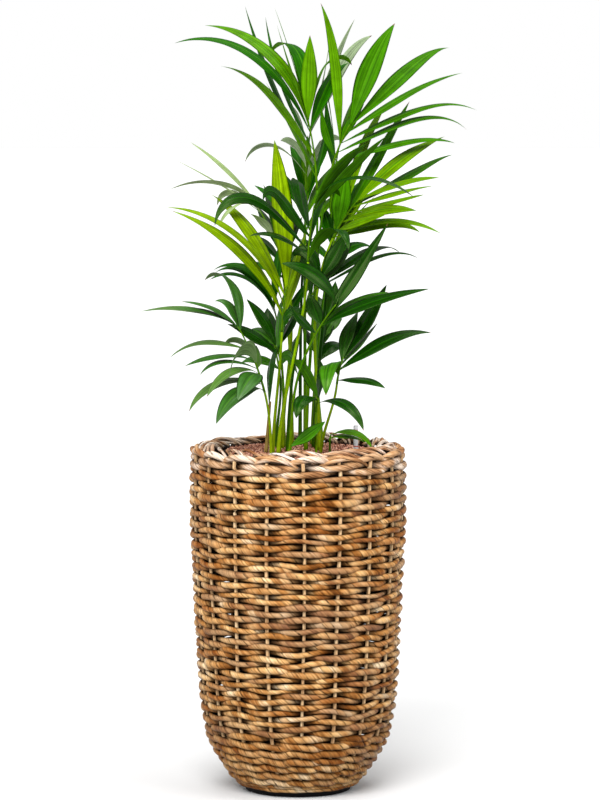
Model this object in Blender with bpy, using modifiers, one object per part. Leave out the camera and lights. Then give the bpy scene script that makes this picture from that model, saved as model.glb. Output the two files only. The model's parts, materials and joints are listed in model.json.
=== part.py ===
"""Potted kentia palm in a round woven basket planter, at its real size in metres.

The origin is the centre of the flat underside of the planter, +Z is up, and the palm is
seen from -Y in its best view. Stalks stand in the granules, and each carries one frond.
"""

import math
from dataclasses import dataclass

import bmesh
import bpy
import numpy as np
from mathutils import Vector
from mathutils.bvhtree import BVHTree

# Driving sizes
GAP = 0.0003
SEGMENTS = 32

RIM_HEIGHT = 0.654
SOIL_HEIGHT = 0.645
BASKET_FOOT = 0.008
BASKET_TOP = 0.6352
BASKET_FOOT_RADIUS = 0.1165
BASKET_SKIRT = 0.1785
BASKET_FLARE = 0.051
BASKET_BELLY = 0.2050
BASKET_TUCK = 0.072
SHOULDER_HEIGHT = 0.595
SHOULDER_DEPTH = 0.0045
WALL = 0.0155
ROWS = 16
ROW_RELIEF = 0.0022
INNER_STEPS = 8

LINER_FOOT_RADIUS = 0.1000
LINER_TOP_RADIUS = 0.1430
LINER_TOP = 0.6430
LINER_WALL = 0.0035
LINER_FLOOR = 0.0060
GRANULES_BELOW_EDGE = 0.003
GRANULES_SLOPE_WIDTH = 0.012

RIM_RADIUS = 0.1890
RIM_THICKNESS = 0.0240
RIM_LUMPS = 24
RIM_LUMP_SHARE = 0.08
RIM_LUMP_TILT = 0.8
RIM_WIDTH_SHARE = 0.98
RIM_HEIGHT_SHARE = 0.80
RIM_BELOW_TOP = 0.35
RIM_AROUND = 48
RIM_ABOUT = 7
PLAIT_OUTER = 0.1773
PLAIT_OUTER_DEPTH = 0.0128
PLAIT_INNER_DEPTH = 0.0070
PLAIT_BELOW_EDGE = 0.0015
PLAIT_STEP_WIDTH = 0.010
PLAIT_STEP_RISE = 0.003

GAUGE_PLACE = (0.109, -0.020)
GAUGE_RADIUS = 0.0043
GAUGE_HEIGHT = 0.049
GAUGE_FOOT_RADIUS = 0.0085
GAUGE_FOOT_HEIGHT = 0.0070
GAUGE_COLLAR = 1.15
GAUGE_SEGMENTS = 20

STUB_FOOT = (-0.0600, -0.0480)
STUB_LEAN = (0.008, -0.004, 0.098)
STUB_RADII = (0.0046, 0.0044, 0.0032, 0.0028)

STALK_FOOT_RADIUS = 0.0042
STALK_TIP_RADIUS = 0.0025
SHEATH_GROWTH = 0.15
SHEATH_LENGTH = 0.09
STALK_BOW = 0.35
STALK_STEPS = 6
STALK_STAND = 0.004
STALK_STAND_SHARE = 0.08
STALK_FOOT_LEAN = 0.12
LONG_STALK = 0.3
RIB_TIP_RADIUS = 0.0012
RIB_STEPS = 5

LEAF_STATIONS = 5
SHORT_LEAF = 0.13
LEAF_THICKNESS_SHARE = 0.011
LEAF_LEAST_THICKNESS = 0.0016
LEAF_WIDEST = 0.46
LEAF_BASE_SHARE = 0.13
LEAF_SWELL = 1.35
LEAF_TAPER = (1.65, 0.95)
LEAF_TIP_HALF = 0.0006
LEAF_THINNING = 0.6
LEAF_RIDGE_SHARE = 0.65
CLEARANCE = 0.0012
ROOT_SHARE = 0.05
APART_SHARE = 0.30
CURVE_STEPS = 24
TREE_SIDES = 6
SHARP_ANGLE = 40
TURNS_TRIED = (0, 5, -5, 10, -10, 15, -15, 21, -21, 28, -28, 36, -36, 45, -45)


@dataclass(frozen=True)
class Fan:
    """Leaflets that follow one another along a rib.

    A pair of numbers runs from the first leaflet to the last. Angles are in degrees: turn
    is the compass direction from +X towards +Y, rise the slope at the base, fall the slope
    at the tip, roll the twist of the face, and sweep the change of turn along the leaflet.
    """

    count: int
    at: object
    turn: object
    rise: object
    fall: object
    length: object
    width: object
    roll: object = 0
    curl: object = 1.6
    sweep: object = 0


@dataclass(frozen=True)
class Frond:
    """A stalk from its foot in the granules to its neck, and the rib that goes on from there.

    The rib is given as its length, turn, rise and fall.
    """

    name: str
    foot: tuple
    neck: tuple
    rib: tuple
    tone: str
    fans: tuple


TONES = {
    "bright": (0.13, 0.30, 0.02),
    "yellow": (0.24, 0.38, 0.03),
    "mid": (0.05, 0.20, 0.02),
    "deep": (0.02, 0.11, 0.015),
    "grey": (0.10, 0.20, 0.09),
    "pale": (0.20, 0.32, 0.17),
    "light": (0.05, 0.18, 0.04),
}

FRONDS = (
    Frond("top_left", (0.015, 0.000), (0.036, 0.020, 1.136), (0.137, 138, 88, 72), "mid", (
        Fan(1, 0.80, 169, 65, -21, 0.345, 0.032, -18, 1.6),
        Fan(1, 0.88, 147, 75, 0, 0.340, 0.034, -18, 0.95),
        Fan(2, (0.28, 0.55), (121, 117), (42, 38), (60, 70), (0.405, 0.325), (0.028, 0.020), 30, 1.5),
        Fan(2, 1.0, (108, 80), (88, 75), (-53, -66), (0.243, 0.185), 0.038, (5, -30), (1.8, 2.9), (20, -10)),
        Fan(1, 0.85, 47, 62, -5, 0.19, 0.038, 0, 2.4, 13),
        Fan(1, 0.45, 214, 54, 3, 0.288, 0.028, 10, 2.3, 5),
        Fan(1, 0.98, 292, 79, 80, 0.162, 0.034, 15),
        Fan(2, (0.18, 0.20), (120, 72), (62, 50), (50, 62), (0.21, 0.14), (0.036, 0.030), (10, -35)),
        Fan(2, (0.93, 0.96), (225, 230), (76, 65), 66, (0.23, 0.20), 0.022, -30, 1.1),
    )),
    Frond("top_spear", (0.030, 0.045), (0.068, 0.050, 1.135), (0.091, 41, 88, 72), "mid", (
        Fan(1, 1.0, 233, 85, 51, 0.276, 0.022, 30, 2.4),
        Fan(2, (0.30, 0.55), (100, 140), (50, 80), (68, 56), (0.17, 0.14), 0.028, (45, 65)),
        Fan(1, 0.9, 69, 54, 39, 0.13, 0.028, -30),
    )),
    Frond("back_top", (0.014, 0.050), (0.015, 0.100, 1.132), (0.119, 65, 87, 71), "pale", (
        Fan(1, 1.0, 58, 58, 42, 0.262, 0.028, -80, 1.7),
        Fan(1, 0.95, 54, 57, 15, 0.262, 0.036, -80, 2.4),
        Fan(1, 0.90, 62, 50, 67, 0.24, 0.024, -80, 1.7),
        Fan(1, 0.25, 144, 49, -71, 0.18, 0.019, 35, 1.8),
        Fan(2, (0.35, 0.45), (131, 114), (71, 80), (-12, 12), (0.10, 0.15), 0.030, (65, 80), 1.2),
        Fan(1, 0.2, 42, 66, -33, 0.13, 0.030, -70, 2.3),
    )),
    Frond("right_high", (0.036, 0.020), (0.062, 0.020, 1.170), (0.097, -8, 76, 60), "bright", (
        Fan(1, 1.0, 44, 65, 34, 0.233, 0.045, 22, 2.1, 9),
        Fan(1, 0.97, 29, 38, -3, 0.308, 0.038, 22, 3.2, 26),
        Fan(1, 0.80, 12, 33, 10, 0.255, 0.034, 18, 2.5),
        Fan(2, (0.60, 0.40), (10, 8), 25, (-28, -50), (0.277, 0.268), 0.030, 18, (3.3, 3.6)),
        Fan(1, 0.20, 2, 17, -20, 0.235, 0.028, 18, 3.5),
        Fan(1, 0.3, 150, 62, 90, 0.10, 0.028, -5),
        Fan(1, 0.6, 57, 52, 23, 0.11, 0.030, -10),
    )),
    Frond("right_mid", (0.040, -0.010), (0.066, -0.030, 1.049), (0.085, 0, 65, 49), "bright", (
        Fan(2, (0.15, 0.10), (51, 61), (47, 58), (40, 22), 0.34, 0.034, (-15, -25), 1.9, 6),
        Fan(1, 0.95, 29, 43, 13, 0.232, 0.044, 15, 1.5, 4),
        Fan(1, 0.85, 28, 24, 2, 0.275, 0.034, 5, 3.2, 26),
        Fan(3, (1.0, 0.6), (0, -22), (25, 16), (0, 12), 0.16, 0.027, 20),
        Fan(2, (0.40, 0.20), (-40, -64), (22, 16), (-7, 12), (0.18, 0.14), 0.030, 42, 1.2, (2, 32)),
        Fan(2, (0.05, 0.02), (-21, -12), (27, 18), (-27, -40), (0.22, 0.172), (0.024, 0.031), 25, (1.2, 3.0)),
        Fan(1, 0.20, 75, 66, 45, 0.125, 0.040, -10, 1.1),
        Fan(2, (0.11, 0.02), (50, 25), 41, (42, 38), 0.12, (0.036, 0.032), -10, 1.1),
    )),
    Frond("front_high", (-0.037, -0.065), (0.019, -0.085, 1.008), (0.107, -34, 88, 77), "deep", (
        Fan(1, 0.55, 114, 44, -51, 0.19, 0.040, 33, 3.9, -30),
        Fan(1, 0.30, 72, 75, -62, 0.16, 0.040, -30, 2.8),
        Fan(1, 0.45, 205, 49, -74, 0.18, 0.035, -70, 4.0, 47),
        Fan(1, 0.20, 210, 46, -81, 0.285, 0.032, -50, 2.6, 20),
        Fan(1, 0.10, 200, 42, -19, 0.13, 0.026, -25),
        Fan(2, (0.95, 0.90), (33, 25), (66, 50), (27, 36), (0.17, 0.20), (0.040, 0.034), (-65, -50), 0.8),
        Fan(1, 1.0, -20, 90, -36, 0.225, 0.018, 20, 0.5),
        Fan(1, 0.05, -36, 60, -82, 0.17, 0.036, -14, 1.7, -34),
    )),
    Frond("bright_left", (-0.047, -0.050), (-0.030, -0.050, 0.874), (0.086, 0, 88, 79), "yellow", (
        Fan(2, (0.35, 0.60), (166, 159), 70, (15, 0), (0.304, 0.317), (0.039, 0.027), (-20, -8), (0.95, 1.1)),
        Fan(1, 0.8, 134, 56, 7, 0.317, 0.042, 5, 1.4, -16),
        Fan(1, 0.95, 100, 79, 42, 0.31, 0.042, 0, 1.4),
        Fan(2, (0.30, 0.70), (68, 60), (53, 65), 42, (0.18, 0.16), 0.034, -30),
    )),
    Frond("left_grey", (-0.030, 0.030), (-0.028, 0.060, 0.998), (0.114, 157, 71, 55), "grey", (
        Fan(1, 0.85, 166, 63, 31, 0.20, 0.020, -10, 0.7),
        Fan(1, 0.90, 167, 39, 24, 0.21, 0.016, -5, 0.7),
        Fan(1, 1.0, 191, 66, -25, 0.19, 0.026, 20, 0.7),
        Fan(1, 0.95, 144, 34, -85, 0.13, 0.024, 40, 2.6),
        Fan(1, 0.97, 217, 68, -68, 0.12, 0.028, 15, 0.6),
        Fan(1, 0.45, 210, 60, 12, 0.07, 0.028, 15),
    )),
    Frond("left_back", (-0.026, 0.060), (-0.032, 0.080, 0.825), (0.101, 131, 83, 67), "mid", (
        Fan(3, (0.90, 0.70), (168, 186), (70, 66), (-40, -35), (0.16, 0.175), (0.032, 0.026), -20, 1.6),
        Fan(3, (0.85, 0.30), (76, 30), (84, 70), 36, 0.15, 0.032, (-40, 10), 1.2),
    )),
    Frond("front_mid", (-0.020, -0.030), (0.008, -0.045, 0.887), (0.101, -8, 76, 60), "deep", (
        Fan(1, 0.95, -5, 59, 62, 0.10, 0.040, 50),
        Fan(2, (0.80, 0.70), (23, -5), (32, 31), -38, 0.216, (0.034, 0.026), 15, (3.0, 3.6), (26, 0)),
        Fan(1, 0.85, 20, 32, 60, 0.10, 0.030, 20, 0.8),
        Fan(1, 0.85, 201, 86, -71, 0.10, 0.036, -60, 2.2),
        Fan(2, (0.55, 0.30), (103, 213), (56, 6), (35, -63), (0.13, 0.06), 0.032, (30, -25)),
    )),
    Frond("front_fold", (-0.015, -0.050), (0.015, -0.085, 0.836), (0.113, -24, 65, 49), "deep", (
        Fan(1, 1.0, 196, 82, 5, 0.14, 0.042, -50, 0.7),
        Fan(1, 0.75, 60, 62, 68, 0.07, 0.036, -15),
        Fan(2, (0.50, 0.55), (-7, 5), (44, 37), (8, 6), (0.222, 0.15), 0.035, (35, 20), (0.5, 1.3)),
        Fan(2, (0.55, 0.40), (125, 195), (48, 38), 60, 0.075, 0.032, (-5, -40)),
        Fan(1, 0.60, 26, 56, 58, 0.223, 0.032, 55, 1.4),
    )),
    Frond("right_low", (0.043, -0.045), (0.073, -0.070, 0.778), (0.052, 0, 84, 68), "deep", (
        Fan(1, 0.95, 42, 50, 42, 0.18, 0.038, 5, 1.9, 10),
        Fan(2, (0.80, 0.70), (67, 42), (84, 39), (23, 38), (0.125, 0.12), (0.033, 0.028), -10, (0.7, 0.6)),
        Fan(1, 0.55, 6, 34, -12, 0.192, 0.040, 30, 2.4, 4),
        Fan(1, 0.15, -30, 7, -30, 0.105, 0.027, 20, 1.8),
        Fan(1, 0.35, 247, 73, -88, 0.14, 0.042, 17, 0.8, 20),
        Fan(1, 0.90, 85, 66, 39, 0.06, 0.028, 35),
    )),
    Frond("low_fold", (0.034, -0.085), (0.034, -0.095, 0.728), (0.027, 0, 88, 74), "deep", (
        Fan(1, 0.6, -42, 23, -71, 0.139, 0.030, 15, 1.15),
        Fan(1, 0.8, 233, 42, -88, 0.09, 0.036, -10, 1.0),
        Fan(1, 1.0, 142, 64, 2, 0.10, 0.034, 75, 2.0),
        Fan(1, 0.9, 79, 45, 45, 0.10, 0.032, -55, 1.5, 20),
    )),
    Frond("low_right", (0.060, -0.060), (0.060, -0.065, 0.670), (0.013, 0, 88, 74), "mid", (
        Fan(2, (1.0, 0.5), (-19, 0), (24, 20), (-69, -39), (0.096, 0.07), (0.028, 0.026), 15, (1.25, 1.1)),
    )),
    Frond("low_front", (-0.018, -0.100), (-0.016, -0.105, 0.660), (0.006, 0, 72, 56), "deep", (
        Fan(1, 1.0, -5, 35, 37, 0.08, 0.034, 40),
    )),
    Frond("low_left", (-0.050, -0.070), (-0.062, -0.085, 0.764), (0.133, 180, 76, 60), "light", (
        Fan(1, 1.0, 180, 40, -13, 0.19, 0.030, -15, 0.7),
        Fan(1, 0.97, 200, 46, -3, 0.14, 0.022, -20, 0.7),
        Fan(2, (0.94, 0.97), 166, (62, 77), (2, -31), (0.13, 0.08), (0.034, 0.028), -18, (0.7, 2.4)),
        Fan(1, 0.92, 116, 95, -45, 0.184, 0.034, 15, 1.5, 22),
        Fan(2, (0.62, 0.55), (187, 162), (21, 70), -47, (0.163, 0.07), (0.030, 0.026), (-15, 35), (1.6, 1.3)),
        Fan(2, (0.45, 0.35), (196, 197), (42, 26), (-24, -59), (0.141, 0.124), 0.026, -13, (0.5, 1.7)),
        Fan(1, 0.25, 210, 57, -61, 0.135, 0.029, -13, 0.6),
        Fan(1, 0.42, 244, 86, -87, 0.14, 0.036, 55, 0.8, -9),
        Fan(1, 0.12, 194, 19, -69, 0.165, 0.032, -15, 1.3),
        Fan(1, 0.02, 220, 47, -64, 0.143, 0.044, -15, 0.55),
        Fan(1, 0.25, 257, 36, -58, 0.11, 0.044, -15, 0.6, -28),
        Fan(1, 0.35, 77, 52, 26, 0.06, 0.026, 55, 1.5, 30),
    )),
    Frond("left_inner", (-0.034, -0.020), (-0.028, -0.040, 0.786), (0.064, -159, 85, 69), "deep", (
        Fan(2, (0.95, 0.80), (156, 185), (80, 38), (38, 13), 0.11, 0.036, (-10, -35), (0.7, 1.8)),
        Fan(1, 0.82, 254, 31, -83, 0.16, 0.036, 58, 0.6, 20),
        Fan(1, 0.6, 52, 51, -78, 0.10, 0.032, 75, 0.5, 18),
        Fan(2, (0.90, 0.75), (60, 88), (40, 66), (50, 24), 0.12, 0.033, (-20, -50)),
    )),
    Frond("back_centre", (0.004, 0.080), (0.012, 0.150, 1.038), (0.099, 81, 67, 51), "mid", (
        Fan(3, (0.10, 0.75), (150, 111), (50, 68), 20, 0.145, 0.035, (-10, 25)),
        Fan(3, (0.15, 0.80), (40, 76), (46, 54), (14, 36), 0.155, 0.035, (0, -30)),
        Fan(1, 1.0, 98, 85, 90, 0.11, 0.036, 45),
    )),
    Frond("back_right", (0.027, 0.090), (0.058, 0.140, 0.981), (0.090, 64, 68, 52), "mid", (
        Fan(3, (0.10, 0.75), (35, 52), (38, 51), (-40, -7), (0.12, 0.15), 0.034, (20, -5), 2.0),
        Fan(3, (0.15, 0.80), (136, 98), (46, 88), (-20, 55), (0.10, 0.12), 0.034, (0, 35), 1.8),
        Fan(1, 1.0, 63, 57, 20, 0.12, 0.034, -25),
    )),
    Frond("back_left", (-0.011, 0.100), (-0.027, 0.130, 0.955), (0.092, 111, 70, 54), "deep", (
        Fan(3, (0.10, 0.75), (144, 118), (30, 52), (-50, 15), 0.125, 0.034, (-15, 20), 2.0),
        Fan(3, (0.15, 0.80), (48, 76), (44, 62), (18, 30), 0.12, 0.034, (-5, -35)),
        Fan(1, 1.0, 98, 65, 31, 0.13, 0.034, 45),
    )),
    Frond("back_low_right", (0.046, 0.070), (0.040, 0.115, 0.800), (0.060, 75, 64, 48), "deep", (
        Fan(3, (0.10, 1.0), (55, 100), (36, 60), (-50, 10), 0.11, 0.034, (20, -18), 1.9),
        Fan(2, (0.15, 0.55), (120, 102), (53, 80), (24, 30), 0.09, 0.034, (20, 45)),
        Fan(1, 0.95, 70, 41, -27, 0.10, 0.034, 15, 1.9),
    )),
    Frond("back_low_left", (-0.042, 0.050), (-0.035, 0.100, 0.785), (0.065, 108, 63, 47), "deep", (
        Fan(3, (0.10, 1.0), (150, 100), (26, 48), (-47, 25), 0.095, 0.033, (-18, 18), 2.0),
        Fan(2, (0.15, 0.55), (58, 82), (36, 75), (45, 18), 0.10, 0.034, (-20, -50)),
        Fan(1, 0.95, 130, 33, -34, 0.09, 0.034, -15, 2.2),
    )),
)


def between(value, share):
    """The value itself, or the point at this share of a pair."""
    if isinstance(value, tuple):
        return value[0] + (value[1] - value[0]) * share
    return value


def heading(turn, slope):
    """The unit vector of a compass direction and a slope, both in degrees."""
    turn, slope = math.radians(turn), math.radians(slope)
    level = math.cos(slope)
    return np.array((level * math.cos(turn), level * math.sin(turn), math.sin(slope)))


def point_at(points, share):
    """The point at this share of an evenly stepped line."""
    place = max(0.0, min(1.0, share)) * (len(points) - 1)
    first = min(len(points) - 2, int(place))
    return points[first] + (points[first + 1] - points[first]) * (place - first)


@dataclass(frozen=True)
class Blade:
    """One leaflet: an arc through space with a width, a thickness and a twist."""

    base: tuple
    turn: float
    sweep: float
    rise: float
    fall: float
    curl: float
    length: float
    width: float
    roll: float

    def slope(self, share):
        return self.rise + (self.fall - self.rise) * share**self.curl

    def line(self):
        """The midrib as evenly stepped points."""
        points = [np.array(self.base)]
        for step in range(CURVE_STEPS):
            share = (step + 0.5) / CURVE_STEPS
            way = heading(self.turn + self.sweep * share, self.slope(share))
            points.append(points[-1] + way * self.length / CURVE_STEPS)
        return np.array(points)

    def across(self, share):
        """The unit vectors across the face and out of it at this share of the length."""
        turn = self.turn + self.sweep * share
        way = heading(turn, self.slope(share))
        side = np.array((math.sin(math.radians(turn)), -math.cos(math.radians(turn)), 0.0))
        up = np.cross(side, way)
        roll = math.radians(self.roll)
        out = up * math.cos(roll) + np.cross(way, up) * math.sin(roll)
        return np.cross(way, out), out

    def breadth(self, share):
        """The share of the full width: narrow at the base, widest near the middle, a long tip."""
        if share < LEAF_WIDEST:
            swell = math.sin(math.pi / 2 * share / LEAF_WIDEST) ** LEAF_SWELL
            return LEAF_BASE_SHARE + (1 - LEAF_BASE_SHARE) * swell
        beyond = (share - LEAF_WIDEST) / (1 - LEAF_WIDEST)
        return max(0.0, 1 - beyond ** LEAF_TAPER[0]) ** LEAF_TAPER[1]

    def sections(self, grown=0.0, start=0.0):
        """Three corners, the two edges and the ridge above them, at each station."""
        line = self.line()
        thick = max(self.length * LEAF_THICKNESS_SHARE, LEAF_LEAST_THICKNESS)
        stations = LEAF_STATIONS - (self.length < SHORT_LEAF)
        corners = []
        for station in range(stations + 1):
            share = start + (1 - start) * station / stations
            middle = point_at(line, share)
            across, out = self.across(share)
            half = max(self.width / 2 * self.breadth(share), LEAF_TIP_HALF) + grown
            height = thick * (1 - LEAF_THINNING * share)
            low = middle - out * (height * (1 - LEAF_RIDGE_SHARE) + grown)
            ridge = middle + out * (height * LEAF_RIDGE_SHARE + grown)
            corners.append((low + across * half, ridge, low - across * half))
        return corners


def loft(sections):
    """Corners and triangles of a closed solid through rings of three corners."""
    points = [Vector(corner) for ring in sections for corner in ring]
    faces = [(0, 1, 2)]
    for ring in range(1, len(sections)):
        for side in range(3):
            low = 3 * (ring - 1) + side
            low_next = 3 * (ring - 1) + (side + 1) % 3
            faces += [(low, low + 3, low_next + 3), (low, low_next + 3, low_next)]
    last = 3 * (len(sections) - 1)
    faces.append((last, last + 2, last + 1))
    return points, faces


def rib_line(frond):
    """The rib as evenly stepped points from the neck."""
    length, turn, rise, fall = frond.rib
    points = [np.array(frond.neck)]
    for step in range(RIB_STEPS):
        share = (step + 0.5) / RIB_STEPS
        points.append(points[-1] + heading(turn, rise + (fall - rise) * share) * length / RIB_STEPS)
    return np.array(points)


def stalk_line(frond):
    """The stalk, which leaves the granules upright and meets the rib in its own direction."""
    foot = np.array((frond.foot[0], frond.foot[1], SOIL_HEIGHT + GAP))
    arrival = heading(frond.rib[1], frond.rib[2])
    neck = np.array(frond.neck) - arrival * GAP
    lean = neck - foot
    reach = float(np.linalg.norm(lean))
    first = foot + np.array((lean[0] * STALK_FOOT_LEAN, lean[1] * STALK_FOOT_LEAN, reach * STALK_BOW))
    second = neck - arrival * reach * STALK_BOW
    points = []
    for step in range(STALK_STEPS + 1):
        share = step / STALK_STEPS
        rest = 1 - share
        points.append(foot * rest**3 + first * 3 * share * rest**2
                      + second * 3 * share**2 * rest + neck * share**3)
    points.insert(1, foot + np.array((0.0, 0.0, min(STALK_STAND, reach * STALK_STAND_SHARE))))
    return np.array(points)


def stalk_radii(frond, line):
    """Thick where the sheath wraps the foot, then tapering to the neck."""
    reach = float(np.linalg.norm(line[-1] - line[0]))
    growth = min(1.0, reach / LONG_STALK)
    foot = STALK_TIP_RADIUS + (STALK_FOOT_RADIUS - STALK_TIP_RADIUS) * growth
    radii = []
    for step in range(len(line)):
        share = step / (len(line) - 1)
        plain = foot + (STALK_TIP_RADIUS - foot) * share
        sheath = max(0.0, 1 - share * reach / SHEATH_LENGTH)
        radii.append(plain * (1 + SHEATH_GROWTH * sheath * growth))
    return radii


def tree_round(line, radii):
    """A search tree of a six-sided tube round this line."""
    points, faces, sides = [], [], TREE_SIDES
    for step, middle in enumerate(line):
        way = line[min(step + 1, len(line) - 1)] - line[max(step - 1, 0)]
        side = np.cross(way, (0.0, 1.0, 0.0))
        side /= np.linalg.norm(side)
        other = np.cross(way / np.linalg.norm(way), side)
        for corner in range(sides):
            angle = math.tau * corner / sides
            reach = radii[step] + CLEARANCE
            points.append(Vector(middle + (side * math.cos(angle) + other * math.sin(angle)) * reach))
        for corner in range(sides if step else 0):
            low, low_next = sides * (step - 1) + corner, sides * (step - 1) + (corner + 1) % sides
            faces += [(low, low_next, low_next + sides), (low, low_next + sides, low + sides)]
    return BVHTree.FromPolygons(points, faces)


def grow_fronds():
    """The blades of each frond: each is turned until it is clear of all others, or left out."""
    taken = []
    for frond in FRONDS:
        stalk, rib = stalk_line(frond), rib_line(frond)
        rib_radii = np.linspace(STALK_TIP_RADIUS, RIB_TIP_RADIUS, len(rib))
        taken.append((frond.name, "stem", tree_round(stalk, stalk_radii(frond, stalk))))
        taken.append((frond.name, "stem", tree_round(rib, rib_radii)))
    grown = {}
    for frond in FRONDS:
        rib = rib_line(frond)
        grown[frond.name] = []
        for fan in frond.fans:
            for number in range(fan.count):
                share = number / max(1, fan.count - 1)
                base = point_at(rib, between(fan.at, share))
                for turned in TURNS_TRIED:
                    blade = Blade(tuple(base), between(fan.turn, share) + turned,
                                  between(fan.sweep, share), between(fan.rise, share),
                                  between(fan.fall, share), between(fan.curl, share),
                                  between(fan.length, share), between(fan.width, share),
                                  between(fan.roll, share))
                    whole = BVHTree.FromPolygons(*loft(blade.sections(CLEARANCE, ROOT_SHARE)))
                    outer = BVHTree.FromPolygons(*loft(blade.sections(CLEARANCE, APART_SHARE)))
                    if any(whole.overlap(tree) for name, _, tree in taken if name != frond.name):
                        continue
                    if any(outer.overlap(tree) for name, kind, tree in taken
                           if name == frond.name and kind == "blade"):
                        continue
                    grown[frond.name].append(blade)
                    taken.append((frond.name, "blade", whole))
                    break
    return grown


def clear_scene():
    """Removes whatever the file holds."""
    for old in list(bpy.data.objects):
        bpy.data.objects.remove(old, do_unlink=True)


def material(name, colour, roughness, metallic=0.0):
    """A plain Principled material."""
    made = bpy.data.materials.get(name) or bpy.data.materials.new(name)
    made.use_nodes = True
    shader = made.node_tree.nodes["Principled BSDF"]
    shader.inputs["Base Color"].default_value = (*colour, 1.0)
    shader.inputs["Roughness"].default_value = roughness
    shader.inputs["Metallic"].default_value = metallic
    made.diffuse_color = (*colour, 1.0)
    return made


def add_object(name, data, finish, collection):
    """An object with this data and material in the collection."""
    made = bpy.data.objects.new(name, data)
    collection.objects.link(made)
    made.data.materials.append(finish)
    return made


def turned(name, profile, finish, collection, segments=SEGMENTS):
    """A solid of revolution about Z, from a closed profile of (radius, height) points."""
    mesh = bpy.data.meshes.new(name)
    shape = bmesh.new()
    corners = [shape.verts.new((radius, 0.0, height)) for radius, height in profile]
    for first, second in zip(corners, corners[1:] + corners[:1]):
        if first.co.x > 0.0 or second.co.x > 0.0:
            shape.edges.new((first, second))
    shape.to_mesh(mesh)
    shape.free()
    made = add_object(name, mesh, finish, collection)
    screw = made.modifiers.new("turn", "SCREW")
    screw.axis = "Z"
    screw.steps = segments
    screw.render_steps = segments
    screw.use_merge_vertices = True
    screw.merge_threshold = 0.00001
    return made


def basket_radius(height):
    """The outer radius of the basket: a tucked foot, a flaring body and a drawn-in shoulder."""
    tuck = 1 - math.exp(-(((height - BASKET_FOOT / 2) / BASKET_TUCK) ** 1.5))
    body = min(BASKET_BELLY, BASKET_SKIRT + BASKET_FLARE * height)
    past = max(0.0, height - SHOULDER_HEIGHT) / (BASKET_TOP - SHOULDER_HEIGHT)
    return BASKET_FOOT_RADIUS + (body - BASKET_FOOT_RADIUS) * tuck - SHOULDER_DEPTH * past**2


def build_basket(collection):
    """The woven wall, with one ridge for each pair of rows, and open at both ends."""
    finish = material("woven leaf rope", (0.45, 0.30, 0.17), 0.75)
    pitch = (BASKET_TOP - BASKET_FOOT) / ROWS
    outer = []
    for row in range(ROWS, 0, -1):
        crest = BASKET_FOOT + pitch * (row - 0.5)
        groove = BASKET_FOOT + pitch * (row - 1)
        if row == ROWS:
            outer.append((basket_radius(BASKET_TOP) - ROW_RELIEF, BASKET_TOP))
        outer.append((basket_radius(crest), crest))
        outer.append((basket_radius(groove) - ROW_RELIEF, groove))
    inner = []
    for step in range(INNER_STEPS + 1):
        height = BASKET_FOOT + (BASKET_TOP - BASKET_FOOT) * step / INNER_STEPS
        inner.append((basket_radius(height) - WALL, height))
    return turned("basket_wall", outer + inner, finish, collection)


def build_liner(collection):
    """The black planter inside the basket, which stands on its flat foot."""
    finish = material("black plastic", (0.012, 0.012, 0.013), 0.45)
    profile = [
        (LINER_TOP_RADIUS, LINER_TOP),
        (LINER_FOOT_RADIUS, 0.0),
        (0.0, 0.0),
        (0.0, LINER_FLOOR),
        (LINER_FOOT_RADIUS - LINER_WALL, LINER_FLOOR),
        (LINER_TOP_RADIUS - LINER_WALL, LINER_TOP),
    ]
    return turned("planter_liner", profile, finish, collection)


def build_granules(collection):
    """The clay granules that fill the liner to just under its edge."""
    finish = material("clay granules", (0.20, 0.07, 0.045), 0.9)
    floor = LINER_FLOOR + GAP

    def wall(height):
        share = (height - LINER_FLOOR) / (LINER_TOP - LINER_FLOOR)
        slope = LINER_FOOT_RADIUS + (LINER_TOP_RADIUS - LINER_FOOT_RADIUS) * share
        return slope - LINER_WALL - 2 * GAP

    edge = LINER_TOP - GRANULES_BELOW_EDGE
    profile = [
        (0.0, SOIL_HEIGHT),
        (wall(edge) - GRANULES_SLOPE_WIDTH, SOIL_HEIGHT),
        (wall(edge), edge),
        (wall(floor), floor),
        (0.0, floor),
    ]
    return turned("granule_fill", profile, finish, collection)


def build_rim(collection):
    """The braided rim: a thick ring with one lump for each strand that comes over."""
    finish = material("rim rope", (0.42, 0.29, 0.18), 0.75)
    mesh = bpy.data.meshes.new("basket_rim")
    shape = bmesh.new()
    middle = RIM_HEIGHT - RIM_THICKNESS * RIM_BELOW_TOP
    rings = []
    for step in range(RIM_AROUND):
        angle = math.tau * step / RIM_AROUND
        lump = math.cos(RIM_LUMPS * angle)
        ring = []
        for corner in range(RIM_ABOUT):
            tilt = math.tau * corner / RIM_ABOUT
            swell = 1 + RIM_LUMP_SHARE * lump * math.cos(tilt - RIM_LUMP_TILT)
            reach = RIM_THICKNESS / 2 * swell
            radius = RIM_RADIUS + reach * math.cos(tilt) * RIM_WIDTH_SHARE
            height = middle + reach * math.sin(tilt) * RIM_HEIGHT_SHARE
            ring.append(shape.verts.new((radius * math.cos(angle), radius * math.sin(angle), height)))
        rings.append(ring)
    for step in range(RIM_AROUND):
        ring, following = rings[step], rings[(step + 1) % RIM_AROUND]
        for corner in range(RIM_ABOUT):
            beside = (corner + 1) % RIM_ABOUT
            shape.faces.new((ring[corner], following[corner], following[beside], ring[beside]))
    bmesh.ops.recalc_face_normals(shape, faces=shape.faces)
    shape.to_mesh(mesh)
    shape.free()
    return add_object("basket_rim", mesh, finish, collection)


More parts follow.
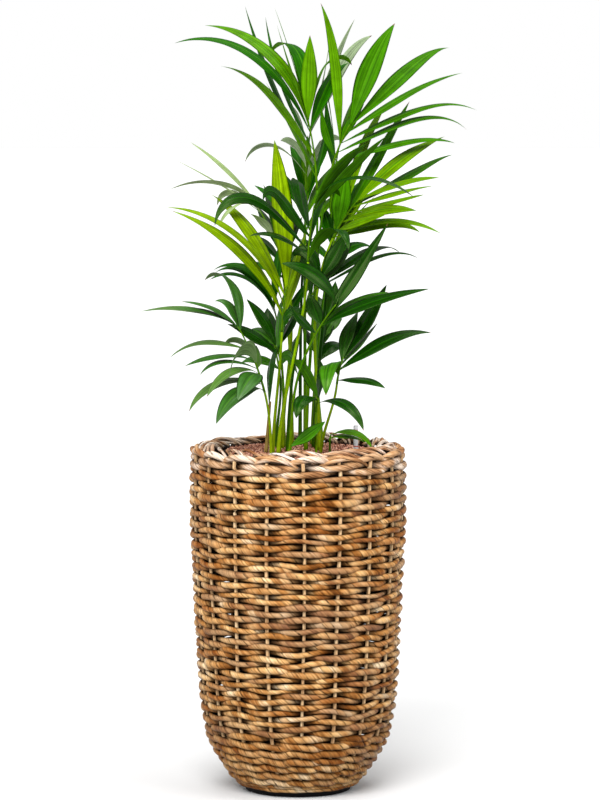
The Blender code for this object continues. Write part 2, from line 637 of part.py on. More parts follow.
def build_plait(collection):
    """The thin strands that slope from the rim down to the edge of the liner, as one ring."""
    finish = material("plaited strands", (0.40, 0.28, 0.20), 0.8)
    inner = LINER_TOP_RADIUS + GAP
    profile = [
        (PLAIT_OUTER, RIM_HEIGHT),
        (PLAIT_OUTER, RIM_HEIGHT - PLAIT_OUTER_DEPTH),
        (inner, LINER_TOP - PLAIT_INNER_DEPTH),
        (inner, LINER_TOP - PLAIT_BELOW_EDGE),
        (inner + PLAIT_STEP_WIDTH, LINER_TOP + PLAIT_STEP_RISE),
    ]
    return turned("rim_plait", profile, finish, collection)


def build_gauge(collection):
    """The clear water gauge: a round foot on the granules and a tube standing on it."""
    clear = material("clear plastic", (0.80, 0.82, 0.84), 0.15)
    base = SOIL_HEIGHT + GAP
    sizes = (
        ("gauge_foot", GAUGE_FOOT_RADIUS, GAUGE_RADIUS * GAUGE_COLLAR, base, GAUGE_FOOT_HEIGHT),
        ("gauge_tube", GAUGE_RADIUS, GAUGE_RADIUS, base + GAUGE_FOOT_HEIGHT + GAP,
         GAUGE_HEIGHT - GAUGE_FOOT_HEIGHT),
    )
    for name, lower, upper, foot, height in sizes:
        mesh = bpy.data.meshes.new(name)
        shape = bmesh.new()
        bmesh.ops.create_cone(shape, cap_ends=True, segments=GAUGE_SEGMENTS, radius1=lower,
                              radius2=upper, depth=height)
        shape.to_mesh(mesh)
        shape.free()
        made = add_object(name, mesh, clear, collection)
        made.location = (*GAUGE_PLACE, foot + height / 2)


def tube(name, line, radii, finish, collection, rounding=1):
    """A tapering tube of four sides and two more for each step of rounding, as a mesh."""
    curve = bpy.data.curves.new(name, "CURVE")
    curve.dimensions = "3D"
    curve.bevel_depth = 1.0
    curve.bevel_resolution = rounding
    curve.use_fill_caps = True
    spline = curve.splines.new("POLY")
    spline.points.add(len(line) - 1)
    for point, place, radius in zip(spline.points, line, radii):
        point.co = (*place, 1.0)
        point.radius = radius
    guide = bpy.data.objects.new(name + "_guide", curve)
    collection.objects.link(guide)
    bpy.context.view_layer.update()
    graph = bpy.context.evaluated_depsgraph_get()
    mesh = bpy.data.meshes.new_from_object(guide.evaluated_get(graph))
    bpy.data.objects.remove(guide, do_unlink=True)
    bpy.data.curves.remove(curve)
    shape = bmesh.new()
    shape.from_mesh(mesh)
    bmesh.ops.remove_doubles(shape, verts=shape.verts, dist=0.000005)
    bmesh.ops.triangulate(shape, faces=shape.faces)
    bmesh.ops.recalc_face_normals(shape, faces=shape.faces)
    shape.to_mesh(mesh)
    shape.free()
    mesh.name = name
    mesh.materials.clear()
    return add_object(name, mesh, finish, collection)


def build_stalks(collection):
    """One stalk for each frond, from the granules to just under its neck."""
    finish = material("green stalk", (0.17, 0.27, 0.05), 0.5)
    for frond in FRONDS:
        line = stalk_line(frond)
        tube("stalk_" + frond.name, line, stalk_radii(frond, line), finish, collection)


def build_stub(collection):
    """The brown stump of a stalk that was cut off."""
    finish = material("dry stalk", (0.30, 0.14, 0.05), 0.8)
    foot = np.array((*STUB_FOOT, SOIL_HEIGHT + GAP))
    tip = foot + np.array(STUB_LEAN)
    line = (foot, foot + np.array((0.0, 0.0, STALK_STAND)), (foot + tip) / 2, tip)
    tube("cut_stub", line, STUB_RADII, finish, collection)


def fuse(target, parts):
    """One union of the target with a collection of parts, applied, with the parts removed."""
    union = target.modifiers.new("union", "BOOLEAN")
    union.operation = "UNION"
    union.operand_type = "COLLECTION"
    union.collection = parts
    union.solver = "MANIFOLD"
    bpy.context.view_layer.update()
    graph = bpy.context.evaluated_depsgraph_get()
    fused = bpy.data.meshes.new_from_object(target.evaluated_get(graph))
    target.modifiers.clear()
    plain = target.data
    target.data = fused
    bpy.data.meshes.remove(plain)
    for part in list(parts.objects):
        bpy.data.objects.remove(part, do_unlink=True)
    bpy.data.collections.remove(parts)


def keep_main_body(target):
    """Fills a hollow that the union sealed and drops a loose scrap: only the largest body stays."""
    shape = bmesh.new()
    shape.from_mesh(target.data)
    left = set(shape.verts)
    bodies = []
    while left:
        front = [left.pop()]
        body = set(front)
        while front:
            for edge in front.pop().link_edges:
                for corner in edge.verts:
                    if corner not in body:
                        body.add(corner)
                        front.append(corner)
        left -= body
        bodies.append(body)
    largest = max(bodies, key=len)
    bmesh.ops.delete(shape, geom=[v for v in shape.verts if v not in largest], context="VERTS")
    shape.to_mesh(target.data)
    shape.free()


def build_fronds(collection):
    """Each frond as one solid: its rib and the leaflets that stand on it."""
    grown = grow_fronds()
    for frond in FRONDS:
        finish = material(frond.tone + " leaf", TONES[frond.tone], 0.4)
        line = rib_line(frond)
        radii = np.linspace(STALK_TIP_RADIUS, RIB_TIP_RADIUS, len(line))
        rib = tube("frond_" + frond.name, line, radii, finish, collection, 0)
        parts = bpy.data.collections.new(frond.name + " leaflets")
        bpy.context.scene.collection.children.link(parts)
        for number, blade in enumerate(grown[frond.name]):
            points, faces = loft(blade.sections())
            mesh = bpy.data.meshes.new("leaflet")
            mesh.from_pydata([tuple(point) for point in points], [], faces)
            add_object(f"leaflet_{number}", mesh, finish, parts)
        fuse(rib, parts)
        keep_main_body(rib)


def shade(collection):
    """Round pieces smooth, with their real edges kept sharp."""
    for made in collection.objects:
        made.data.shade_smooth()
        made.data.set_sharp_from_angle(angle=math.radians(SHARP_ANGLE))


def main():
    clear_scene()
    palm = bpy.data.collections.new("potted kentia palm")
    bpy.context.scene.collection.children.link(palm)
    build_liner(palm)
    build_granules(palm)
    build_basket(palm)
    build_rim(palm)
    build_plait(palm)
    build_gauge(palm)
    build_stalks(palm)
    build_stub(palm)
    build_fronds(palm)
    shade(palm)


if __name__ == "__main__":
    main()
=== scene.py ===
"""Looks of a potted kentia palm in a tall round basket planter woven from leaf rope.

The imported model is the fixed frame. The palm's stalks, ribs and leaflets grow here by the
same rule as in the part's source, with finer meshes in the same places. The basket's wall,
rim and stakes are separate twisted ropes that follow the solid wall of the frame.
All sizes are in metres, the origin is the centre of the planter's underside, +Z is up, and
the palm is seen from -Y in its best view.
"""

import json
import logging
import math
from dataclasses import dataclass, field
from enum import Enum

import bpy
import numpy as np
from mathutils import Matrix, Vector
from mathutils.bvhtree import BVHTree

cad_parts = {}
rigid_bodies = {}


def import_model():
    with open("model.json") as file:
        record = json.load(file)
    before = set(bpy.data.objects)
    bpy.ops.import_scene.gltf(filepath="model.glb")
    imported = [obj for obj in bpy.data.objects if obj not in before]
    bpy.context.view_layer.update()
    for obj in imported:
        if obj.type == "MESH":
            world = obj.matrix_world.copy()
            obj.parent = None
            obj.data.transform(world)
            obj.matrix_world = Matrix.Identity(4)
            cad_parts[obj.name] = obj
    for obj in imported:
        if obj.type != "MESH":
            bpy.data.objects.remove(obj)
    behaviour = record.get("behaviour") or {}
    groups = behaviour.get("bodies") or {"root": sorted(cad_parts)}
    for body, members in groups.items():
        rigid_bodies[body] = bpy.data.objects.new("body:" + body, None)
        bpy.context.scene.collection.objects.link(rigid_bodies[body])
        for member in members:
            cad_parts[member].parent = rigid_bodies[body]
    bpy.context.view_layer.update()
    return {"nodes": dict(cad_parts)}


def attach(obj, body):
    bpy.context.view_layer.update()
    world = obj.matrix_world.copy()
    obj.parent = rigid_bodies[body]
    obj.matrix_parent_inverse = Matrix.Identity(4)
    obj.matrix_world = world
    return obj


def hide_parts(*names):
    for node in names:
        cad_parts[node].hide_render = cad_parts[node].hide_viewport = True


LOG = logging.getLogger("kentia palm")
BODY = "root"

GAP = 0.0003
SOIL_HEIGHT = 0.645

Pair = tuple[float, float]
Range = float | Pair
Colour = tuple[float, float, float]
Point = tuple[float, float, float]


class Tone(Enum):
    """The shade of green that a frond's leaflets have."""

    BRIGHT = "bright"
    YELLOW = "yellow"
    MID = "mid"
    DEEP = "deep"
    GREY = "grey"
    PALE = "pale"
    LIGHT = "light"


class Face(Enum):
    """The finishes of one leaflet mesh, in the order of its material slots."""

    TOP_A = 0
    TOP_B = 1
    UNDER = 2
    VEIN = 3
    DRY = 4


@dataclass(frozen=True)
class Fan:
    """Leaflets that follow one another along a rib.

    A pair of numbers runs from the first leaflet to the last. Angles are in degrees: turn
    is the compass direction from +X towards +Y, rise the slope at the base, fall the slope
    at the tip, roll the twist of the face, and sweep the change of turn along the leaflet.
    """

    count: int
    at: Range
    turn: Range
    rise: Range
    fall: Range
    length: Range
    width: Range
    roll: Range = 0
    curl: Range = 1.6
    sweep: Range = 0


@dataclass(frozen=True)
class Frond:
    """A stalk from its foot in the granules to its neck, and the rib that goes on from there.

    The rib is given as its length, turn, rise and fall.
    """

    name: str
    foot: Pair
    neck: Point
    rib: tuple[float, float, float, float]
    tone: str
    fans: tuple[Fan, ...]


FRONDS = (
    Frond("top_left", (0.015, 0.000), (0.036, 0.020, 1.136), (0.137, 138, 88, 72), "mid", (
        Fan(1, 0.80, 169, 65, -21, 0.345, 0.032, -18, 1.6),
        Fan(1, 0.88, 147, 75, 0, 0.340, 0.034, -18, 0.95),
        Fan(2, (0.28, 0.55), (121, 117), (42, 38), (60, 70), (0.405, 0.325), (0.028, 0.020), 30, 1.5),
        Fan(2, 1.0, (108, 80), (88, 75), (-53, -66), (0.243, 0.185), 0.038, (5, -30), (1.8, 2.9), (20, -10)),
        Fan(1, 0.85, 47, 62, -5, 0.19, 0.038, 0, 2.4, 13),
        Fan(1, 0.45, 214, 54, 3, 0.288, 0.028, 10, 2.3, 5),
        Fan(1, 0.98, 292, 79, 80, 0.162, 0.034, 15),
        Fan(2, (0.18, 0.20), (120, 72), (62, 50), (50, 62), (0.21, 0.14), (0.036, 0.030), (10, -35)),
        Fan(2, (0.93, 0.96), (225, 230), (76, 65), 66, (0.23, 0.20), 0.022, -30, 1.1),
    )),
    Frond("top_spear", (0.030, 0.045), (0.068, 0.050, 1.135), (0.091, 41, 88, 72), "mid", (
        Fan(1, 1.0, 233, 85, 51, 0.276, 0.022, 30, 2.4),
        Fan(2, (0.30, 0.55), (100, 140), (50, 80), (68, 56), (0.17, 0.14), 0.028, (45, 65)),
        Fan(1, 0.9, 69, 54, 39, 0.13, 0.028, -30),
    )),
    Frond("back_top", (0.014, 0.050), (0.015, 0.100, 1.132), (0.119, 65, 87, 71), "pale", (
        Fan(1, 1.0, 58, 58, 42, 0.262, 0.028, -80, 1.7),
        Fan(1, 0.95, 54, 57, 15, 0.262, 0.036, -80, 2.4),
        Fan(1, 0.90, 62, 50, 67, 0.24, 0.024, -80, 1.7),
        Fan(1, 0.25, 144, 49, -71, 0.18, 0.019, 35, 1.8),
        Fan(2, (0.35, 0.45), (131, 114), (71, 80), (-12, 12), (0.10, 0.15), 0.030, (65, 80), 1.2),
        Fan(1, 0.2, 42, 66, -33, 0.13, 0.030, -70, 2.3),
    )),
    Frond("right_high", (0.036, 0.020), (0.062, 0.020, 1.170), (0.097, -8, 76, 60), "bright", (
        Fan(1, 1.0, 44, 65, 34, 0.233, 0.045, 22, 2.1, 9),
        Fan(1, 0.97, 29, 38, -3, 0.308, 0.038, 22, 3.2, 26),
        Fan(1, 0.80, 12, 33, 10, 0.255, 0.034, 18, 2.5),
        Fan(2, (0.60, 0.40), (10, 8), 25, (-28, -50), (0.277, 0.268), 0.030, 18, (3.3, 3.6)),
        Fan(1, 0.20, 2, 17, -20, 0.235, 0.028, 18, 3.5),
        Fan(1, 0.3, 150, 62, 90, 0.10, 0.028, -5),
        Fan(1, 0.6, 57, 52, 23, 0.11, 0.030, -10),
    )),
    Frond("right_mid", (0.040, -0.010), (0.066, -0.030, 1.049), (0.085, 0, 65, 49), "bright", (
        Fan(2, (0.15, 0.10), (51, 61), (47, 58), (40, 22), 0.34, 0.034, (-15, -25), 1.9, 6),
        Fan(1, 0.95, 29, 43, 13, 0.232, 0.044, 15, 1.5, 4),
        Fan(1, 0.85, 28, 24, 2, 0.275, 0.034, 5, 3.2, 26),
        Fan(3, (1.0, 0.6), (0, -22), (25, 16), (0, 12), 0.16, 0.027, 20),
        Fan(2, (0.40, 0.20), (-40, -64), (22, 16), (-7, 12), (0.18, 0.14), 0.030, 42, 1.2, (2, 32)),
        Fan(2, (0.05, 0.02), (-21, -12), (27, 18), (-27, -40), (0.22, 0.172), (0.024, 0.031), 25, (1.2, 3.0)),
        Fan(1, 0.20, 75, 66, 45, 0.125, 0.040, -10, 1.1),
        Fan(2, (0.11, 0.02), (50, 25), 41, (42, 38), 0.12, (0.036, 0.032), -10, 1.1),
    )),
    Frond("front_high", (-0.037, -0.065), (0.019, -0.085, 1.008), (0.107, -34, 88, 77), "deep", (
        Fan(1, 0.55, 114, 44, -51, 0.19, 0.040, 33, 3.9, -30),
        Fan(1, 0.30, 72, 75, -62, 0.16, 0.040, -30, 2.8),
        Fan(1, 0.45, 205, 49, -74, 0.18, 0.035, -70, 4.0, 47),
        Fan(1, 0.20, 210, 46, -81, 0.285, 0.032, -50, 2.6, 20),
        Fan(1, 0.10, 200, 42, -19, 0.13, 0.026, -25),
        Fan(2, (0.95, 0.90), (33, 25), (66, 50), (27, 36), (0.17, 0.20), (0.040, 0.034), (-65, -50), 0.8),
        Fan(1, 1.0, -20, 90, -36, 0.225, 0.018, 20, 0.5),
        Fan(1, 0.05, -36, 60, -82, 0.17, 0.036, -14, 1.7, -34),
    )),
    Frond("bright_left", (-0.047, -0.050), (-0.030, -0.050, 0.874), (0.086, 0, 88, 79), "yellow", (
        Fan(2, (0.35, 0.60), (166, 159), 70, (15, 0), (0.304, 0.317), (0.039, 0.027), (-20, -8), (0.95, 1.1)),
        Fan(1, 0.8, 134, 56, 7, 0.317, 0.042, 5, 1.4, -16),
        Fan(1, 0.95, 100, 79, 42, 0.31, 0.042, 0, 1.4),
        Fan(2, (0.30, 0.70), (68, 60), (53, 65), 42, (0.18, 0.16), 0.034, -30),
    )),
    Frond("left_grey", (-0.030, 0.030), (-0.028, 0.060, 0.998), (0.114, 157, 71, 55), "grey", (
        Fan(1, 0.85, 166, 63, 31, 0.20, 0.020, -10, 0.7),
        Fan(1, 0.90, 167, 39, 24, 0.21, 0.016, -5, 0.7),
        Fan(1, 1.0, 191, 66, -25, 0.19, 0.026, 20, 0.7),
        Fan(1, 0.95, 144, 34, -85, 0.13, 0.024, 40, 2.6),
        Fan(1, 0.97, 217, 68, -68, 0.12, 0.028, 15, 0.6),
        Fan(1, 0.45, 210, 60, 12, 0.07, 0.028, 15),
    )),
    Frond("left_back", (-0.026, 0.060), (-0.032, 0.080, 0.825), (0.101, 131, 83, 67), "mid", (
        Fan(3, (0.90, 0.70), (168, 186), (70, 66), (-40, -35), (0.16, 0.175), (0.032, 0.026), -20, 1.6),
        Fan(3, (0.85, 0.30), (76, 30), (84, 70), 36, 0.15, 0.032, (-40, 10), 1.2),
    )),
    Frond("front_mid", (-0.020, -0.030), (0.008, -0.045, 0.887), (0.101, -8, 76, 60), "deep", (
        Fan(1, 0.95, -5, 59, 62, 0.10, 0.040, 50),
        Fan(2, (0.80, 0.70), (23, -5), (32, 31), -38, 0.216, (0.034, 0.026), 15, (3.0, 3.6), (26, 0)),
        Fan(1, 0.85, 20, 32, 60, 0.10, 0.030, 20, 0.8),
        Fan(1, 0.85, 201, 86, -71, 0.10, 0.036, -60, 2.2),
        Fan(2, (0.55, 0.30), (103, 213), (56, 6), (35, -63), (0.13, 0.06), 0.032, (30, -25)),
    )),
    Frond("front_fold", (-0.015, -0.050), (0.015, -0.085, 0.836), (0.113, -24, 65, 49), "deep", (
        Fan(1, 1.0, 196, 82, 5, 0.14, 0.042, -50, 0.7),
        Fan(1, 0.75, 60, 62, 68, 0.07, 0.036, -15),
        Fan(2, (0.50, 0.55), (-7, 5), (44, 37), (8, 6), (0.222, 0.15), 0.035, (35, 20), (0.5, 1.3)),
        Fan(2, (0.55, 0.40), (125, 195), (48, 38), 60, 0.075, 0.032, (-5, -40)),
        Fan(1, 0.60, 26, 56, 58, 0.223, 0.032, 55, 1.4),
    )),
    Frond("right_low", (0.043, -0.045), (0.073, -0.070, 0.778), (0.052, 0, 84, 68), "deep", (
        Fan(1, 0.95, 42, 50, 42, 0.18, 0.038, 5, 1.9, 10),
        Fan(2, (0.80, 0.70), (67, 42), (84, 39), (23, 38), (0.125, 0.12), (0.033, 0.028), -10, (0.7, 0.6)),
        Fan(1, 0.55, 6, 34, -12, 0.192, 0.040, 30, 2.4, 4),
        Fan(1, 0.15, -30, 7, -30, 0.105, 0.027, 20, 1.8),
        Fan(1, 0.35, 247, 73, -88, 0.14, 0.042, 17, 0.8, 20),
        Fan(1, 0.90, 85, 66, 39, 0.06, 0.028, 35),
    )),
    Frond("low_fold", (0.034, -0.085), (0.034, -0.095, 0.728), (0.027, 0, 88, 74), "deep", (
        Fan(1, 0.6, -42, 23, -71, 0.139, 0.030, 15, 1.15),
        Fan(1, 0.8, 233, 42, -88, 0.09, 0.036, -10, 1.0),
        Fan(1, 1.0, 142, 64, 2, 0.10, 0.034, 75, 2.0),
        Fan(1, 0.9, 79, 45, 45, 0.10, 0.032, -55, 1.5, 20),
    )),
    Frond("low_right", (0.060, -0.060), (0.060, -0.065, 0.670), (0.013, 0, 88, 74), "mid", (
        Fan(2, (1.0, 0.5), (-19, 0), (24, 20), (-69, -39), (0.096, 0.07), (0.028, 0.026), 15, (1.25, 1.1)),
    )),
    Frond("low_front", (-0.018, -0.100), (-0.016, -0.105, 0.660), (0.006, 0, 72, 56), "deep", (
        Fan(1, 1.0, -5, 35, 37, 0.08, 0.034, 40),
    )),
    Frond("low_left", (-0.050, -0.070), (-0.062, -0.085, 0.764), (0.133, 180, 76, 60), "light", (
        Fan(1, 1.0, 180, 40, -13, 0.19, 0.030, -15, 0.7),
        Fan(1, 0.97, 200, 46, -3, 0.14, 0.022, -20, 0.7),
        Fan(2, (0.94, 0.97), 166, (62, 77), (2, -31), (0.13, 0.08), (0.034, 0.028), -18, (0.7, 2.4)),
        Fan(1, 0.92, 116, 95, -45, 0.184, 0.034, 15, 1.5, 22),
        Fan(2, (0.62, 0.55), (187, 162), (21, 70), -47, (0.163, 0.07), (0.030, 0.026), (-15, 35), (1.6, 1.3)),
        Fan(2, (0.45, 0.35), (196, 197), (42, 26), (-24, -59), (0.141, 0.124), 0.026, -13, (0.5, 1.7)),
        Fan(1, 0.25, 210, 57, -61, 0.135, 0.029, -13, 0.6),
        Fan(1, 0.42, 244, 86, -87, 0.14, 0.036, 55, 0.8, -9),
        Fan(1, 0.12, 194, 19, -69, 0.165, 0.032, -15, 1.3),
        Fan(1, 0.02, 220, 47, -64, 0.143, 0.044, -15, 0.55),
        Fan(1, 0.25, 257, 36, -58, 0.11, 0.044, -15, 0.6, -28),
        Fan(1, 0.35, 77, 52, 26, 0.06, 0.026, 55, 1.5, 30),
    )),
    Frond("left_inner", (-0.034, -0.020), (-0.028, -0.040, 0.786), (0.064, -159, 85, 69), "deep", (
        Fan(2, (0.95, 0.80), (156, 185), (80, 38), (38, 13), 0.11, 0.036, (-10, -35), (0.7, 1.8)),
        Fan(1, 0.82, 254, 31, -83, 0.16, 0.036, 58, 0.6, 20),
        Fan(1, 0.6, 52, 51, -78, 0.10, 0.032, 75, 0.5, 18),
        Fan(2, (0.90, 0.75), (60, 88), (40, 66), (50, 24), 0.12, 0.033, (-20, -50)),
    )),
    Frond("back_centre", (0.004, 0.080), (0.012, 0.150, 1.038), (0.099, 81, 67, 51), "mid", (
        Fan(3, (0.10, 0.75), (150, 111), (50, 68), 20, 0.145, 0.035, (-10, 25)),
        Fan(3, (0.15, 0.80), (40, 76), (46, 54), (14, 36), 0.155, 0.035, (0, -30)),
        Fan(1, 1.0, 98, 85, 90, 0.11, 0.036, 45),
    )),
    Frond("back_right", (0.027, 0.090), (0.058, 0.140, 0.981), (0.090, 64, 68, 52), "mid", (
        Fan(3, (0.10, 0.75), (35, 52), (38, 51), (-40, -7), (0.12, 0.15), 0.034, (20, -5), 2.0),
        Fan(3, (0.15, 0.80), (136, 98), (46, 88), (-20, 55), (0.10, 0.12), 0.034, (0, 35), 1.8),
        Fan(1, 1.0, 63, 57, 20, 0.12, 0.034, -25),
    )),
    Frond("back_left", (-0.011, 0.100), (-0.027, 0.130, 0.955), (0.092, 111, 70, 54), "deep", (
        Fan(3, (0.10, 0.75), (144, 118), (30, 52), (-50, 15), 0.125, 0.034, (-15, 20), 2.0),
        Fan(3, (0.15, 0.80), (48, 76), (44, 62), (18, 30), 0.12, 0.034, (-5, -35)),
        Fan(1, 1.0, 98, 65, 31, 0.13, 0.034, 45),
    )),
    Frond("back_low_right", (0.046, 0.070), (0.040, 0.115, 0.800), (0.060, 75, 64, 48), "deep", (
        Fan(3, (0.10, 1.0), (55, 100), (36, 60), (-50, 10), 0.11, 0.034, (20, -18), 1.9),
        Fan(2, (0.15, 0.55), (120, 102), (53, 80), (24, 30), 0.09, 0.034, (20, 45)),
        Fan(1, 0.95, 70, 41, -27, 0.10, 0.034, 15, 1.9),
    )),
    Frond("back_low_left", (-0.042, 0.050), (-0.035, 0.100, 0.785), (0.065, 108, 63, 47), "deep", (
        Fan(3, (0.10, 1.0), (150, 100), (26, 48), (-47, 25), 0.095, 0.033, (-18, 18), 2.0),
        Fan(2, (0.15, 0.55), (58, 82), (36, 75), (45, 18), 0.10, 0.034, (-20, -50)),
        Fan(1, 0.95, 130, 33, -34, 0.09, 0.034, -15, 2.2),
    )),
)


def between(value: Range, share: float) -> float:
    """The value itself, or the point at this share of a pair."""
    if isinstance(value, tuple):
        return value[0] + (value[1] - value[0]) * share
    return value


def heading(turn: float, slope: float) -> np.ndarray:
    """The unit vector of a compass direction and a slope, both in degrees."""
    turn, slope = math.radians(turn), math.radians(slope)
    level = math.cos(slope)
    return np.array((level * math.cos(turn), level * math.sin(turn), math.sin(slope)))


def point_at(points: np.ndarray, share: float) -> np.ndarray:
    """The point at this share of an evenly stepped line."""
    place = max(0.0, min(1.0, share)) * (len(points) - 1)
    first = min(len(points) - 2, int(place))
    return points[first] + (points[first + 1] - points[first]) * (place - first)


@dataclass(frozen=True)
class Blade:
    """One leaflet: an arc through space with a width, a thickness and a twist."""

    base: Point
    turn: float
    sweep: float
    rise: float
    fall: float
    curl: float
    length: float
    width: float
    roll: float

    curve_steps = 24
    widest = 0.46
    base_share = 0.13
    swell = 1.35
    taper = (1.65, 0.95)
    tip_half = 0.0006
    stations = 5
    short = 0.13
    thickness_share = 0.011
    least_thickness = 0.0016
    thinning = 0.6
    ridge_share = 0.65

    def slope(self, share: float) -> float:
        """The slope in degrees at this share of the length."""
        return self.rise + (self.fall - self.rise) * share**self.curl

    def line(self) -> np.ndarray:
        """The midrib as evenly stepped points."""
        points = [np.array(self.base)]
        for step in range(self.curve_steps):
            share = (step + 0.5) / self.curve_steps
            way = heading(self.turn + self.sweep * share, self.slope(share))
            points.append(points[-1] + way * self.length / self.curve_steps)
        return np.array(points)

    def across(self, share: float, twist: float = 0.0) -> tuple[np.ndarray, np.ndarray]:
        """The unit vectors across the face and out of it.

        Args:
            share: the share of the length.
            twist: degrees that are added to the roll.

        Returns:
            The vector across and the vector out.
        """
        turn = self.turn + self.sweep * share
        way = heading(turn, self.slope(share))
        side = np.array((math.sin(math.radians(turn)), -math.cos(math.radians(turn)), 0.0))
        up = np.cross(side, way)
        roll = math.radians(self.roll + twist)
        out = up * math.cos(roll) + np.cross(way, up) * math.sin(roll)
        return np.cross(way, out), out

    def breadth(self, share: float) -> float:
        """The share of the full width: narrow at the base, widest near the middle, a long tip."""
        if share < self.widest:
            swell = math.sin(math.pi / 2 * share / self.widest) ** self.swell
            return self.base_share + (1 - self.base_share) * swell
        beyond = (share - self.widest) / (1 - self.widest)
        return max(0.0, 1 - beyond ** self.taper[0]) ** self.taper[1]

    def tree(self, grown: float, start: float) -> BVHTree:
        """A search tree of the leaflet's solid.

        Args:
            grown: how much larger than life the solid is all round.
            start: the share of the length at which it starts.
        """
        line = self.line()
        thick = max(self.length * self.thickness_share, self.least_thickness)
        stations = self.stations - (self.length < self.short)
        corners, faces = [], [(0, 1, 2)]
        for station in range(stations + 1):
            share = start + (1 - start) * station / stations
            middle = point_at(line, share)
            across, out = self.across(share)
            half = max(self.width / 2 * self.breadth(share), self.tip_half) + grown
            height = thick * (1 - self.thinning * share)
            low = middle - out * (height * (1 - self.ridge_share) + grown)
            ridge = middle + out * (height * self.ridge_share + grown)
            corners += [Vector(low + across * half), Vector(ridge), Vector(low - across * half)]
        for first in range(0, 3 * stations, 3):
            for side in range(3):
                low, beside = first + side, first + (side + 1) % 3
                faces += [(low, low + 3, beside + 3), (low, beside + 3, beside)]
        faces.append((3 * stations, 3 * stations + 2, 3 * stations + 1))
        return BVHTree.FromPolygons(corners, faces)


